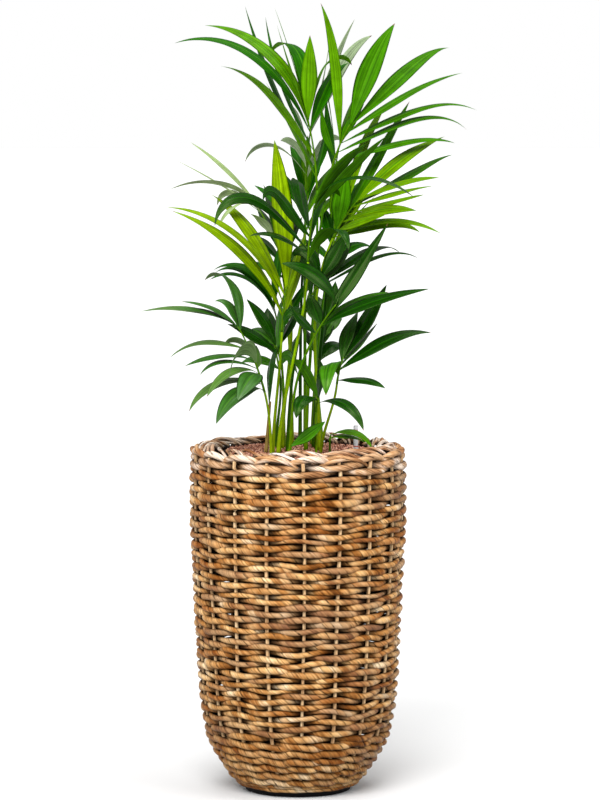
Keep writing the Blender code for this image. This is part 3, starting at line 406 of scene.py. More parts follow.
@dataclass(frozen=True)
class Growth:
    """The rule that places every stalk, rib and leaflet, as in the part's source."""

    stalk_foot: float = 0.0042
    stalk_tip: float = 0.0025
    sheath_growth: float = 0.15
    sheath_length: float = 0.09
    bow: float = 0.35
    steps: int = 6
    stand: float = 0.004
    stand_share: float = 0.08
    foot_lean: float = 0.12
    long_stalk: float = 0.3
    rib_tip: float = 0.0012
    rib_steps: int = 5
    clearance: float = 0.0012
    root_share: float = 0.05
    apart_share: float = 0.30
    tree_sides: int = 6
    turns_tried: tuple[int, ...] = (0, 5, -5, 10, -10, 15, -15, 21, -21, 28, -28, 36, -36, 45, -45)

    def rib_line(self, frond: Frond, steps: int = 0) -> np.ndarray:
        """The rib as evenly stepped points from the neck."""
        length, turn, rise, fall = frond.rib
        points = [np.array(frond.neck)]
        steps = steps or self.rib_steps
        for step in range(steps):
            share = (step + 0.5) / steps
            points.append(points[-1] + heading(turn, rise + (fall - rise) * share) * length / steps)
        return np.array(points)

    def stalk_line(self, frond: Frond, steps: int = 0) -> np.ndarray:
        """The stalk, which leaves the granules upright and meets the rib in its own direction."""
        foot = np.array((frond.foot[0], frond.foot[1], SOIL_HEIGHT + GAP))
        arrival = heading(frond.rib[1], frond.rib[2])
        neck = np.array(frond.neck) - arrival * GAP
        lean = neck - foot
        reach = float(np.linalg.norm(lean))
        first = foot + np.array((lean[0] * self.foot_lean, lean[1] * self.foot_lean, reach * self.bow))
        second = neck - arrival * reach * self.bow
        points = []
        steps = steps or self.steps
        for step in range(steps + 1):
            share = step / steps
            rest = 1 - share
            points.append(foot * rest**3 + first * 3 * share * rest**2
                          + second * 3 * share**2 * rest + neck * share**3)
        if steps == self.steps:
            points.insert(1, foot + np.array((0.0, 0.0, min(self.stand, reach * self.stand_share))))
        return np.array(points)

    def stalk_radii(self, line: np.ndarray) -> list[float]:
        """Thick where the sheath wraps the foot, then tapering to the neck."""
        reach = float(np.linalg.norm(line[-1] - line[0]))
        growth = min(1.0, reach / self.long_stalk)
        foot = self.stalk_tip + (self.stalk_foot - self.stalk_tip) * growth
        radii = []
        for step in range(len(line)):
            share = step / (len(line) - 1)
            plain = foot + (self.stalk_tip - foot) * share
            sheath = max(0.0, 1 - share * reach / self.sheath_length)
            radii.append(plain * (1 + self.sheath_growth * sheath * growth))
        return radii

    def tree_round(self, line: np.ndarray, radii: list[float]) -> BVHTree:
        """A search tree of a tube round this line."""
        points, faces, sides = [], [], self.tree_sides
        for step, middle in enumerate(line):
            way = line[min(step + 1, len(line) - 1)] - line[max(step - 1, 0)]
            side = np.cross(way, (0.0, 1.0, 0.0))
            side /= np.linalg.norm(side)
            other = np.cross(way / np.linalg.norm(way), side)
            for corner in range(sides):
                angle = math.tau * corner / sides
                reach = radii[step] + self.clearance
                points.append(Vector(middle + (side * math.cos(angle) + other * math.sin(angle)) * reach))
            for corner in range(sides if step else 0):
                low = sides * (step - 1) + corner
                beside = sides * (step - 1) + (corner + 1) % sides
                faces += [(low, beside, beside + sides), (low, beside + sides, low + sides)]
        return BVHTree.FromPolygons(points, faces)

    def grow(self) -> dict[str, list[Blade]]:
        """The leaflets of each frond: each is turned until it is clear of all others, or left out."""
        taken = []
        for frond in FRONDS:
            stalk, rib = self.stalk_line(frond), self.rib_line(frond)
            rib_radii = list(np.linspace(self.stalk_tip, self.rib_tip, len(rib)))
            taken.append((frond.name, "stem", self.tree_round(stalk, self.stalk_radii(stalk))))
            taken.append((frond.name, "stem", self.tree_round(rib, rib_radii)))
        grown: dict[str, list[Blade]] = {}
        for frond in FRONDS:
            rib = self.rib_line(frond)
            grown[frond.name] = []
            for fan in frond.fans:
                for number in range(fan.count):
                    share = number / max(1, fan.count - 1)
                    base = tuple(point_at(rib, between(fan.at, share)))
                    for turned in self.turns_tried:
                        blade = Blade(base, between(fan.turn, share) + turned,
                                      between(fan.sweep, share), between(fan.rise, share),
                                      between(fan.fall, share), between(fan.curl, share),
                                      between(fan.length, share), between(fan.width, share),
                                      between(fan.roll, share))
                        whole = blade.tree(self.clearance, self.root_share)
                        if any(whole.overlap(tree) for name, _, tree in taken if name != frond.name):
                            continue
                        outer = blade.tree(self.clearance, self.apart_share)
                        if any(outer.overlap(tree) for name, kind, tree in taken
                               if name == frond.name and kind == "blade"):
                            continue
                        grown[frond.name].append(blade)
                        taken.append((frond.name, "blade", whole))
                        break
        return grown


class ShaderSheet:
    """Short calls that build one Principled material."""

    def __init__(self, name: str) -> None:
        """Starts a material with this name."""
        self.material = bpy.data.materials.new(name)
        self.material.use_nodes = True
        self.tree = self.material.node_tree
        self.shader = self.tree.nodes["Principled BSDF"]

    def node(self, kind: str, inputs: dict | None = None, **settings: object) -> bpy.types.Node:
        """A node of this kind.

        Args:
            kind: the node's Blender type.
            inputs: a value or an output socket for each input, by name or number.
            settings: the node's own properties.

        Returns:
            The new node.
        """
        made = self.tree.nodes.new(kind)
        for name, value in settings.items():
            setattr(made, name, value)
        for name, value in (inputs or {}).items():
            if isinstance(value, bpy.types.NodeSocket):
                self.tree.links.new(value, made.inputs[name])
            else:
                made.inputs[name].default_value = value
        return made

    def math(self, operation: str, first: object, second: object = 0.0) -> bpy.types.NodeSocket:
        """The result of a Math node."""
        return self.node("ShaderNodeMath", {0: first, 1: second}, operation=operation).outputs[0]

    def place(self, scale: Point = (1.0, 1.0, 1.0)) -> bpy.types.NodeSocket:
        """Object coordinates, scaled."""
        source = self.node("ShaderNodeTexCoord").outputs["Object"]
        return self.node("ShaderNodeMapping", {"Vector": source, "Scale": scale}).outputs[0]

    def noise(self, vector: bpy.types.NodeSocket, scale: float, detail: float = 3.0,
              roughness: float = 0.55) -> bpy.types.NodeSocket:
        """The value of a noise texture."""
        return self.node("ShaderNodeTexNoise", {"Vector": vector, "Scale": scale, "Detail": detail,
                                                "Roughness": roughness}).outputs["Fac"]

    def ramp(self, value: bpy.types.NodeSocket,
             stops: tuple[tuple[float, Colour], ...]) -> bpy.types.NodeSocket:
        """A colour ramp over the value."""
        made = self.node("ShaderNodeValToRGB", {"Fac": value})
        points = made.color_ramp.elements
        while len(points) < len(stops):
            points.new(1.0)
        for point, (place, colour) in zip(points, stops):
            point.position = place
            point.color = (*colour, 1.0)
        return made.outputs["Color"]

    def mix(self, share: object, first: object, second: object,
            blend: str = "MIX") -> bpy.types.NodeSocket:
        """Two colours mixed."""
        made = self.tree.nodes.new("ShaderNodeMix")
        made.data_type = "RGBA"
        made.blend_type = blend
        for number, value in ((0, share), (6, first), (7, second)):
            if isinstance(value, bpy.types.NodeSocket):
                self.tree.links.new(value, made.inputs[number])
            elif number:
                made.inputs[number].default_value = (*value, 1.0)
            else:
                made.inputs[number].default_value = value
        return made.outputs[2]

    def bump(self, height: bpy.types.NodeSocket, strength: float, distance: float) -> None:
        """Adds a bump from this height to the shader, on top of any bump before it."""
        before = self.shader.inputs["Normal"].links
        inputs = {"Height": height, "Strength": strength, "Distance": distance}
        if before:
            inputs["Normal"] = before[0].from_socket
        made = self.node("ShaderNodeBump", inputs)
        self.tree.links.new(made.outputs[0], self.shader.inputs["Normal"])

    def finish(self, colour: object, roughness: object, **plain: object) -> bpy.types.Material:
        """Sets the shader's colour, its roughness and its plain sockets.

        Args:
            colour: a colour or an output socket.
            roughness: a number or an output socket.
            plain: more of the shader's inputs, with underscores for spaces.

        Returns:
            The finished material.
        """
        for name, value in (("Base Color", colour), ("Roughness", roughness)):
            if isinstance(value, bpy.types.NodeSocket):
                self.tree.links.new(value, self.shader.inputs[name])
            else:
                self.shader.inputs[name].default_value = (*value, 1.0) if name == "Base Color" else value
        for name, value in plain.items():
            self.shader.inputs[name.replace("_", " ")].default_value = value
        return self.material


@dataclass(frozen=True)
class LeafFinish:
    """A living leaf surface: a plain green with mottling, and pleats along it whose shade and highlight are
    painted in stripes.
    """

    name: str
    colour: Colour
    roughness: float = 0.4
    gloss: float = 0.3
    gloss_tint: Colour = (0.45, 1.0, 0.15)
    pleat_height: float = 0.0005
    mottle: float = 0.16
    # How strongly the pleats' painted shade and highlight show in the colour.
    streak: float = 0.44

    def shade(self, change: float) -> Colour:
        """The leaf's colour made lighter or darker by this share."""
        return tuple(min(1.0, part * (1 + change)) for part in self.colour)

    def build(self) -> bpy.types.Material:
        """Makes the material from the leaflet's own map: x runs across it and y along it."""
        sheet = ShaderSheet(self.name)
        uv = sheet.node("ShaderNodeUVMap", uv_map="UVMap").outputs[0]
        pleats = sheet.noise(sheet.node("ShaderNodeMapping", {0: uv, "Scale": (10.0, 0.5, 1.0)}).outputs[0],
                             1.0, 3.0)
        mottle = sheet.noise(sheet.place(), 38.0, 4.0)
        colour = sheet.ramp(mottle, ((0.36, self.shade(-self.mottle)), (0.64, self.shade(self.mottle))))
        # Painted shade and highlight of the pleats: darker where the bump is low, lighter where it is high.
        dark = 1 - self.streak
        streak = sheet.ramp(pleats, ((0.38, (dark, dark, dark)), (0.56, (1.14, 1.14, 1.14))))
        sheet.bump(pleats, 0.6, self.pleat_height)
        return sheet.finish(sheet.mix(1.0, colour, streak, "MULTIPLY"), self.roughness,
                            Specular_IOR_Level=self.gloss, Specular_Tint=(*self.gloss_tint, 1.0))


@dataclass(frozen=True)
class DryFinish:
    """Dead leaf or stalk tissue in uneven browns."""

    name: str
    dark: Colour = (0.06, 0.022, 0.008)
    light: Colour = (0.26, 0.14, 0.05)

    def build(self) -> bpy.types.Material:
        """Makes the material."""
        sheet = ShaderSheet(self.name)
        grain = sheet.noise(sheet.place((1.0, 1.0, 0.25)), 260.0, 5.0)
        sheet.bump(grain, 0.4, 0.0004)
        return sheet.finish(sheet.ramp(grain, ((0.3, self.dark), (0.7, self.light))), 0.75)


@dataclass(frozen=True)
class StalkFinish:
    """A smooth green stalk with fine fibres along it, paler at its foot."""

    name: str
    green: Colour
    foot: Colour
    roughness: float = 0.38

    def build(self) -> bpy.types.Material:
        """Makes the material."""
        sheet = ShaderSheet(self.name)
        place = sheet.place((1.0, 1.0, 0.04))
        fibres = sheet.noise(place, 900.0, 3.0)
        height = sheet.node("ShaderNodeSeparateXYZ", {0: sheet.place()}).outputs[2]
        up = sheet.node("ShaderNodeMapRange", {0: height, 1: SOIL_HEIGHT, 2: SOIL_HEIGHT + 0.16}).outputs[0]
        tint = sheet.mix(up, self.foot, self.green)
        shade = sheet.ramp(fibres, ((0.3, (0.48, 0.48, 0.48)), (0.7, (1.25, 1.25, 1.25))))
        sheet.bump(fibres, 0.35, 0.0003)
        return sheet.finish(sheet.mix(1.0, tint, shade, "MULTIPLY"), self.roughness,
                            Specular_IOR_Level=0.12, Specular_Tint=(0.7, 1.0, 0.3, 1.0))


@dataclass(frozen=True)
class RopeFinish:
    """Twisted strips of dried leaf: each strip has its own shade, with dark seams between.

    The first ramp is for a strip's value, from dark to light. Some stretches are mixed with
    a greyer and some with a redder colour. Shade is painted in as well: darker towards the foot of
    the basket, and darker where the mesh's open value says the rope lies in shade.
    """

    name: str
    stops: tuple[tuple[float, Colour], ...]
    strips: int = 2
    strip_pitch: float = 0.0165
    seam: float = 0.115
    seam_dark: float = 0.02
    patch_scale: float = 10.0
    grey: Colour = (0.27, 0.145, 0.088)
    red: Colour = (0.34, 0.095, 0.014)
    tints: Pair = (0.60, 0.42)
    roughness: float = 0.40
    # Painted shade: the colour that a rope is darkened towards where its open value says it lies in shade.
    painted_shade_colour: Colour = (0.024, 0.007, 0.002)
    # Painted shade: the share of brightness that is left at the foot of the basket.
    painted_low_shade: float = 0.80

    def build(self) -> bpy.types.Material:
        """Makes the material from the rope's own map: x runs along it and y once round it."""
        sheet = ShaderSheet(self.name)
        uv = sheet.node("ShaderNodeUVMap", uv_map="UVMap").outputs[0]
        split = sheet.node("ShaderNodeSeparateXYZ", {0: uv})
        along, around = split.outputs[0], split.outputs[1]
        winding = sheet.math("DIVIDE", along, self.strip_pitch)
        phase = sheet.math("SUBTRACT", sheet.math("MULTIPLY", around, float(self.strips)), winding)
        strip = sheet.math("FLOORED_MODULO", sheet.math("FLOOR", phase), float(self.strips))
        within = sheet.math("FRACT", phase)
        edge = sheet.math("MINIMUM", within, sheet.math("SUBTRACT", 1.0, within))
        wobble = sheet.noise(sheet.place(), 160.0, 2.0)
        edge = sheet.math("ADD", edge, sheet.math("MULTIPLY", sheet.math("SUBTRACT", wobble, 0.5), 0.25))
        seam = sheet.node("ShaderNodeMapRange", {0: edge, 1: 0.0, 2: self.seam}).outputs[0]
        gap_place = sheet.node("ShaderNodeCombineXYZ", {0: sheet.math("MULTIPLY", along, 60.0), 1: strip})
        shut = sheet.noise(gap_place.outputs[0], 1.0, 1.0)
        shut = sheet.node("ShaderNodeMapRange", {0: shut, 1: 0.43, 2: 0.52, 4: 0.85}).outputs[0]
        seam = sheet.math("MAXIMUM", seam, shut)
        fibre_place = sheet.node("ShaderNodeCombineXYZ", {
            0: sheet.math("MULTIPLY", within, 9.0),
            1: sheet.math("MULTIPLY", along, 22.0),
            2: sheet.math("MULTIPLY", strip, 5.3),
        }).outputs[0]
        fibres = sheet.noise(fibre_place, 1.0, 4.0, 0.65)
        patch_place = sheet.node("ShaderNodeCombineXYZ", {
            0: sheet.math("MULTIPLY", along, self.patch_scale),
            1: sheet.math("MULTIPLY", strip, 0.17),
        }).outputs[0]
        patches = sheet.noise(patch_place, 1.0, 3.0)
        value = sheet.math("ADD", sheet.math("MULTIPLY", patches, 0.84),
                           sheet.math("MULTIPLY", fibres, 0.16))
        value = sheet.node("ShaderNodeMapRange", {0: value, 1: 0.15, 2: 0.85, 3: -0.1, 4: 1.1}).outputs[0]
        colour = sheet.ramp(value, self.stops)
        zone = sheet.noise(sheet.place((3.0, 3.0, 15.0)), 1.0, 1.0)
        for number, (tint, share) in enumerate(zip((self.grey, self.red), self.tints)):
            stretch_place = sheet.node("ShaderNodeCombineXYZ", {
                0: sheet.math("MULTIPLY", along, 5.0),
                1: 3.7 + 8.3 * number,
            }).outputs[0]
            stretch = sheet.math("MULTIPLY", sheet.noise(stretch_place, 1.0, 1.0), 0.7)
            batch = sheet.math("MULTIPLY", sheet.math("SUBTRACT", 1.0, zone) if number else zone, 0.5)
            amount = sheet.node("ShaderNodeMapRange", {
                0: sheet.math("ADD", stretch, batch), 1: 0.60, 2: 0.72, 4: share,
            }).outputs[0]
            colour = sheet.mix(amount, colour, tint)
        streak = sheet.ramp(fibres, ((0.34, (0.44, 0.36, 0.30)), (0.54, (1.13, 1.13, 1.13))))
        colour = sheet.mix(1.0, colour, streak, "MULTIPLY")
        dark = sheet.mix(1.0, colour, (self.seam_dark, self.seam_dark * 0.7, self.seam_dark * 0.5),
                         "MULTIPLY")
        colour = sheet.mix(seam, dark, colour)
        # Painted shade: darker towards the foot of the basket.
        height = sheet.node("ShaderNodeSeparateXYZ", {0: sheet.place()}).outputs[2]
        low = sheet.node("ShaderNodeMapRange", {0: height, 1: 0.10, 2: 0.36, 3: self.painted_low_shade}).outputs[0]
        colour = sheet.mix(1.0, colour, sheet.mix(low, (0.0, 0.0, 0.0), (1.0, 1.0, 1.0)), "MULTIPLY")
        # Painted shade: darker where the open value is low, behind a stake, on the sides and on undersides.
        painted_light_level = sheet.node("ShaderNodeAttribute", attribute_name="open").outputs["Fac"]
        colour = sheet.mix(1.0, colour, sheet.mix(painted_light_level, self.painted_shade_colour, (1.0, 1.0, 1.0)), "MULTIPLY")
        sheet.bump(fibres, 0.5, 0.0009)
        sheet.bump(seam, 0.5, 0.0010)
        return sheet.finish(colour, self.roughness, Specular_IOR_Level=0.16,
                            Specular_Tint=(1.0, 0.80, 0.50, 1.0))


@dataclass(frozen=True)
class GranuleFinish:
    """Fired clay granules in reddish browns, each with its own shade."""

    name: str = "fired clay"

    def build(self) -> bpy.types.Material:
        """Makes the material."""
        sheet = ShaderSheet(self.name)
        shade = sheet.node("ShaderNodeTexVoronoi", {"Vector": sheet.place(), "Scale": 190.0}).outputs["Color"]
        value = sheet.node("ShaderNodeSeparateColor", {0: shade}).outputs[0]
        pores = sheet.noise(sheet.place(), 900.0, 3.0)
        colour = sheet.ramp(value, ((0.0, (0.14, 0.036, 0.018)), (0.5, (0.40, 0.135, 0.074)),
                                    (1.0, (0.84, 0.46, 0.33))))
        sheet.bump(pores, 0.5, 0.0005)
        return sheet.finish(colour, 0.85)


@dataclass(frozen=True)
class PlasticFinish:
    """Moulded plastic with a faint grain, and red marks between pairs of heights."""

    name: str
    colour: Colour
    roughness: float
    alpha: float = 1.0
    marks: tuple[Pair, ...] = ()
    gloss: float = 0.5
    red: Colour = (0.60, 0.03, 0.015)

    def build(self) -> bpy.types.Material:
        """Makes the material."""
        sheet = ShaderSheet(self.name)
        grain = sheet.noise(sheet.place(), 700.0, 2.0)
        sheet.bump(grain, 0.15, 0.0002)
        rough = sheet.node("ShaderNodeMapRange", {0: grain, 3: self.roughness * 0.85,
                                                  4: self.roughness * 1.15}).outputs[0]
        if not self.marks:
            return sheet.finish(self.colour, rough, Alpha=self.alpha, Specular_IOR_Level=self.gloss)
        height = sheet.node("ShaderNodeSeparateXYZ", {0: sheet.place()}).outputs[2]
        colour = self.colour
        for low, high in self.marks:
            marked = sheet.math("MULTIPLY", sheet.math("GREATER_THAN", height, low),
                                sheet.math("LESS_THAN", height, high))
            colour = sheet.mix(marked, colour, self.red)
        return sheet.finish(colour, rough, Alpha=self.alpha, Specular_IOR_Level=self.gloss)


class NodeTree:
    """Short calls that build one Geometry Nodes tree with named inputs."""

    def __init__(self, name: str, sockets: dict[str, str]) -> None:
        """Starts a tree.

        Args:
            name: the tree's name.
            sockets: the socket type of each named input after the geometry.
        """
        self.tree = bpy.data.node_groups.new(name, "GeometryNodeTree")
        face = self.tree.interface
        face.new_socket("Geometry", in_out="INPUT", socket_type="NodeSocketGeometry")
        for socket, kind in sockets.items():
            face.new_socket(socket, in_out="INPUT", socket_type=kind)
        face.new_socket("Geometry", in_out="OUTPUT", socket_type="NodeSocketGeometry")
        self.source = self.tree.nodes.new("NodeGroupInput").outputs
        self.sink = self.tree.nodes.new("NodeGroupOutput").inputs

    def node(self, kind: str, inputs: dict | None = None, **settings: object) -> bpy.types.Node:
        """A node of this kind, as in ShaderSheet.node."""
        made = self.tree.nodes.new(kind)
        for name, value in settings.items():
            setattr(made, name, value)
        for name, value in (inputs or {}).items():
            if isinstance(value, bpy.types.NodeSocket):
                self.tree.links.new(value, made.inputs[name])
            else:
                made.inputs[name].default_value = value
        return made

    def math(self, operation: str, first: object, second: object = 0.0) -> bpy.types.NodeSocket:
        """The result of a Math node."""
        return self.node("ShaderNodeMath", {0: first, 1: second}, operation=operation).outputs[0]

    def vector(self, operation: str, inputs: dict) -> bpy.types.NodeSocket:
        """The result of a Vector Math node."""
        return self.node("ShaderNodeVectorMath", inputs, operation=operation).outputs[0]

    def attribute(self, name: str, kind: str = "FLOAT") -> bpy.types.NodeSocket:
        """A named attribute as a field."""
        return self.node("GeometryNodeInputNamedAttribute", {"Name": name}, data_type=kind).outputs[0]

    def store(self, geometry: bpy.types.NodeSocket, name: str, value: bpy.types.NodeSocket,
              kind: str = "FLOAT", domain: str = "POINT") -> bpy.types.NodeSocket:
        """The geometry with a named attribute stored on it."""
        made = self.node("GeometryNodeStoreNamedAttribute",
                         {"Geometry": geometry, "Name": name, "Value": value},
                         data_type=kind, domain=domain)
        return made.outputs[0]

    def end(self, geometry: bpy.types.NodeSocket, finish: bpy.types.NodeSocket) -> None:
        """Realizes the instances, sets the material and closes the tree."""
        smooth = self.node("GeometryNodeSetShadeSmooth", {"Geometry": geometry}).outputs[0]
        real = self.node("GeometryNodeRealizeInstances", {"Geometry": smooth}).outputs[0]
        dressed = self.node("GeometryNodeSetMaterial", {"Geometry": real, "Material": finish}).outputs[0]
        self.tree.links.new(dressed, self.sink[0])


def run_nodes(name: str, guide: bpy.types.Mesh, tree: bpy.types.NodeTree,
              values: dict[str, object]) -> bpy.types.Object:
    """Runs a tree on a guide mesh and keeps the result as a plain mesh.

    Args:
        name: the name of the piece.
        guide: the mesh that the tree starts from.
        tree: the Geometry Nodes tree.
        values: a value for each of the tree's named inputs.

    Returns:
        The piece, at the origin.
    """
    host = bpy.data.objects.new(name + "_guide", guide)
    bpy.context.scene.collection.objects.link(host)
    modifier = host.modifiers.new("nodes", "NODES")
    modifier.node_group = tree
    for item in tree.interface.items_tree:
        if item.in_out == "INPUT" and item.name in values:
            modifier[item.identifier] = values[item.name]
    bpy.context.view_layer.update()
    graph = bpy.context.evaluated_depsgraph_get()
    mesh = bpy.data.meshes.new_from_object(host.evaluated_get(graph))
    bpy.data.objects.remove(host, do_unlink=True)
    for attribute in ("centre", "along", "around", "rope_radius", "outness"):
        if attribute in mesh.attributes:
            mesh.attributes.remove(mesh.attributes[attribute])
    mesh.name = name
    return add_piece(name, mesh)


def add_piece(name: str, mesh: bpy.types.Mesh) -> bpy.types.Object:
    """Links a mesh to the scene as an object."""
    piece = bpy.data.objects.new(name, mesh)
    bpy.context.scene.collection.objects.link(piece)
    return piece


def settle(piece: bpy.types.Object, slot: str, *nodes: str) -> bpy.types.Object:
    """Lets a piece ride on the plant's body and hides the nodes that it stands for; the slot is not used."""
    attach(piece, BODY)
    if nodes:
        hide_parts(*nodes)
    LOG.info("%s: %d faces", piece.name, len(piece.data.polygons))
    return piece


@dataclass(frozen=True)
class Rope:
    """The path of one rope: its points, its radius and how far out it lies at each of them.

    A row of the wall lies from -1, behind a stake, to 1, in front of one. A rope above the wall
    has 2, and its underside is painted in shade. A rope that is open to the light on all sides has 3.
    The material paints shade by this value: on a row, behind a stake and where its surface turns
    away from the outside; on a rope above the wall, on its underside.
    """

    points: np.ndarray
    radii: np.ndarray
    outness: np.ndarray | None = None

    def depths(self) -> np.ndarray:
        """How far out each point lies, which is 3 all along unless the rope says so."""
        return np.full(len(self.points), 3.0) if self.outness is None else self.outness


class RopeMaker:
    """Makes twisted ropes along paths, by Geometry Nodes."""

    spread = 3.7

    def __init__(self) -> None:
        """Builds the tree once for all ropes."""
        self.tree = self.build_tree()

    def build_tree(self) -> bpy.types.NodeTree:
        """Builds the tree: a path becomes a tube, grooved along the seams of its strips, and it stores the
        painted shade as the value open.
        """
        made = NodeTree("twisted rope", {
            "Sides": "NodeSocketInt",
            "Strips": "NodeSocketInt",
            "Strip Pitch": "NodeSocketFloat",
            "Groove": "NodeSocketFloat",
            "Finish": "NodeSocketMaterial",
        })
        source = made.source
        curve = made.node("GeometryNodeMeshToCurve", {"Mesh": source["Geometry"]}).outputs[0]
        curve = made.node("GeometryNodeSetCurveNormal", {"Curve": curve}, mode="Z_UP").outputs[0]
        centre = made.node("GeometryNodeInputPosition").outputs[0]
        curve = made.store(curve, "centre", centre, "FLOAT_VECTOR")
        length = made.node("GeometryNodeSplineParameter").outputs["Length"]
        number = made.node("GeometryNodeCurveOfPoint").outputs["Curve Index"]
        along = made.math("MULTIPLY_ADD", number, self.spread)
        made.tree.links.new(length, along.node.inputs[2])
        curve = made.store(curve, "along", along)
        sides = made.math("ADD", source["Sides"], 1.0)
        profile = made.node("GeometryNodeCurveArc", {
            "Resolution": sides, "Radius": 1.0, "Start Angle": 0.0, "Sweep Angle": math.tau,
        }).outputs[0]
        factor = made.node("GeometryNodeSplineParameter").outputs["Factor"]
        profile = made.store(profile, "around", factor)
        tube = made.node("GeometryNodeCurveToMesh", {
            "Curve": curve, "Profile Curve": profile, "Scale": made.attribute("rope_radius"),
        }).outputs[0]
        along, around = made.attribute("along"), made.attribute("around")
        uv = made.node("ShaderNodeCombineXYZ", {0: along, 1: around}).outputs[0]
        tube = made.store(tube, "UVMap", uv, "FLOAT2", "CORNER")
        winding = made.math("DIVIDE", along, source["Strip Pitch"])
        phase = made.math("SUBTRACT", made.math("MULTIPLY", around, source["Strips"]), winding)
        lobe = made.math("ABSOLUTE", made.math("SINE", made.math("MULTIPLY", phase, math.pi)))
        dip = made.math("POWER", made.math("SUBTRACT", 1.0, lobe), 1.6)
        share = made.math("SUBTRACT", 1.0, made.math("MULTIPLY", dip, source["Groove"]))
        centre = made.attribute("centre", "FLOAT_VECTOR")
        place = made.node("GeometryNodeInputPosition").outputs[0]
        spoke = made.vector("SUBTRACT", {0: place, 1: centre})
        level = made.vector("MULTIPLY", {0: centre, 1: (1.0, 1.0, 0.0)})
        # The value open is painted shade, from 0 in shade to 1 in light: front darkens a row where its surface
        # turns away from the outside, near darkens it where it lies behind a stake, and under darkens the
        # underside of a rope above the wall.
        outwards = made.vector("NORMALIZE", {0: spoke})
        facing = made.node("ShaderNodeVectorMath", {
            0: outwards, 1: made.vector("NORMALIZE", {0: level}),
        }, operation="DOT_PRODUCT").outputs["Value"]
        rise = made.node("ShaderNodeSeparateXYZ", {0: outwards}).outputs[2]
        under = made.node("ShaderNodeMapRange", {0: rise, 1: -0.8, 2: 0.3, 3: 0.6, 4: 0.0}).outputs[0]
        outness = made.attribute("outness")
        front = made.node("ShaderNodeMapRange", {0: facing, 1: 0.05, 2: 0.80}).outputs[0]
        near = made.node("ShaderNodeMapRange", {0: outness, 1: -1.05, 2: 0.15}).outputs[0]
        free = made.math("SUBTRACT", made.math("SUBTRACT", outness, 1.0), under)
        tube = made.store(tube, "open", made.math("MAXIMUM", made.math("MULTIPLY", front, near), free))
        spoke = made.vector("SCALE", {0: spoke, "Scale": share})
        grooved = made.node("GeometryNodeSetPosition", {
            "Geometry": tube, "Position": made.vector("ADD", {0: centre, 1: spoke}),
        }).outputs[0]
        joined = made.node("GeometryNodeMergeByDistance", {"Geometry": grooved, "Distance": 0.00012}).outputs[0]
        made.end(joined, source["Finish"])
        return made.tree

    def make(self, name: str, ropes: list[Rope], finish: bpy.types.Material, sides: int = 12,
             strips: int = 2, pitch: float = 0.0165, groove: float = 0.04) -> bpy.types.Object:
        """Makes one piece from several ropes.

        Args:
            name: the name of the piece.
            ropes: the paths.
            finish: the material.
            sides: the corners of a rope's section.
            strips: the strips in a rope.
            pitch: how far a rope runs until the next strip's seam comes round.
            groove: the depth of a seam as a share of the radius.

        Returns:
            The piece.
        """
        points = np.concatenate([rope.points for rope in ropes])
        edges, start = [], 0
        for rope in ropes:
            edges += [(start + step, start + step + 1) for step in range(len(rope.points) - 1)]
            start += len(rope.points)
        guide = bpy.data.meshes.new(name)
        guide.from_pydata(points.tolist(), edges, [])
        for kept, values in (("rope_radius", [rope.radii for rope in ropes]),
                             ("outness", [rope.depths() for rope in ropes])):
            attribute = guide.attributes.new(kept, "FLOAT", "POINT")
            attribute.data.foreach_set("value", np.concatenate(values))
        return run_nodes(name, guide, self.tree, {
            "Sides": sides, "Strips": strips, "Strip Pitch": pitch, "Groove": groove, "Finish": finish,
        })


def drift(rng: np.random.Generator, angles: np.ndarray, waves: tuple[int, ...]) -> np.ndarray:
    """A smooth random value from about -1 to 1 that closes round the circle."""
    value = np.zeros_like(angles)
    for wave in waves:
        value += math.sqrt(1 / len(waves)) * np.sin(wave * angles + rng.uniform(0, math.tau))
    return value


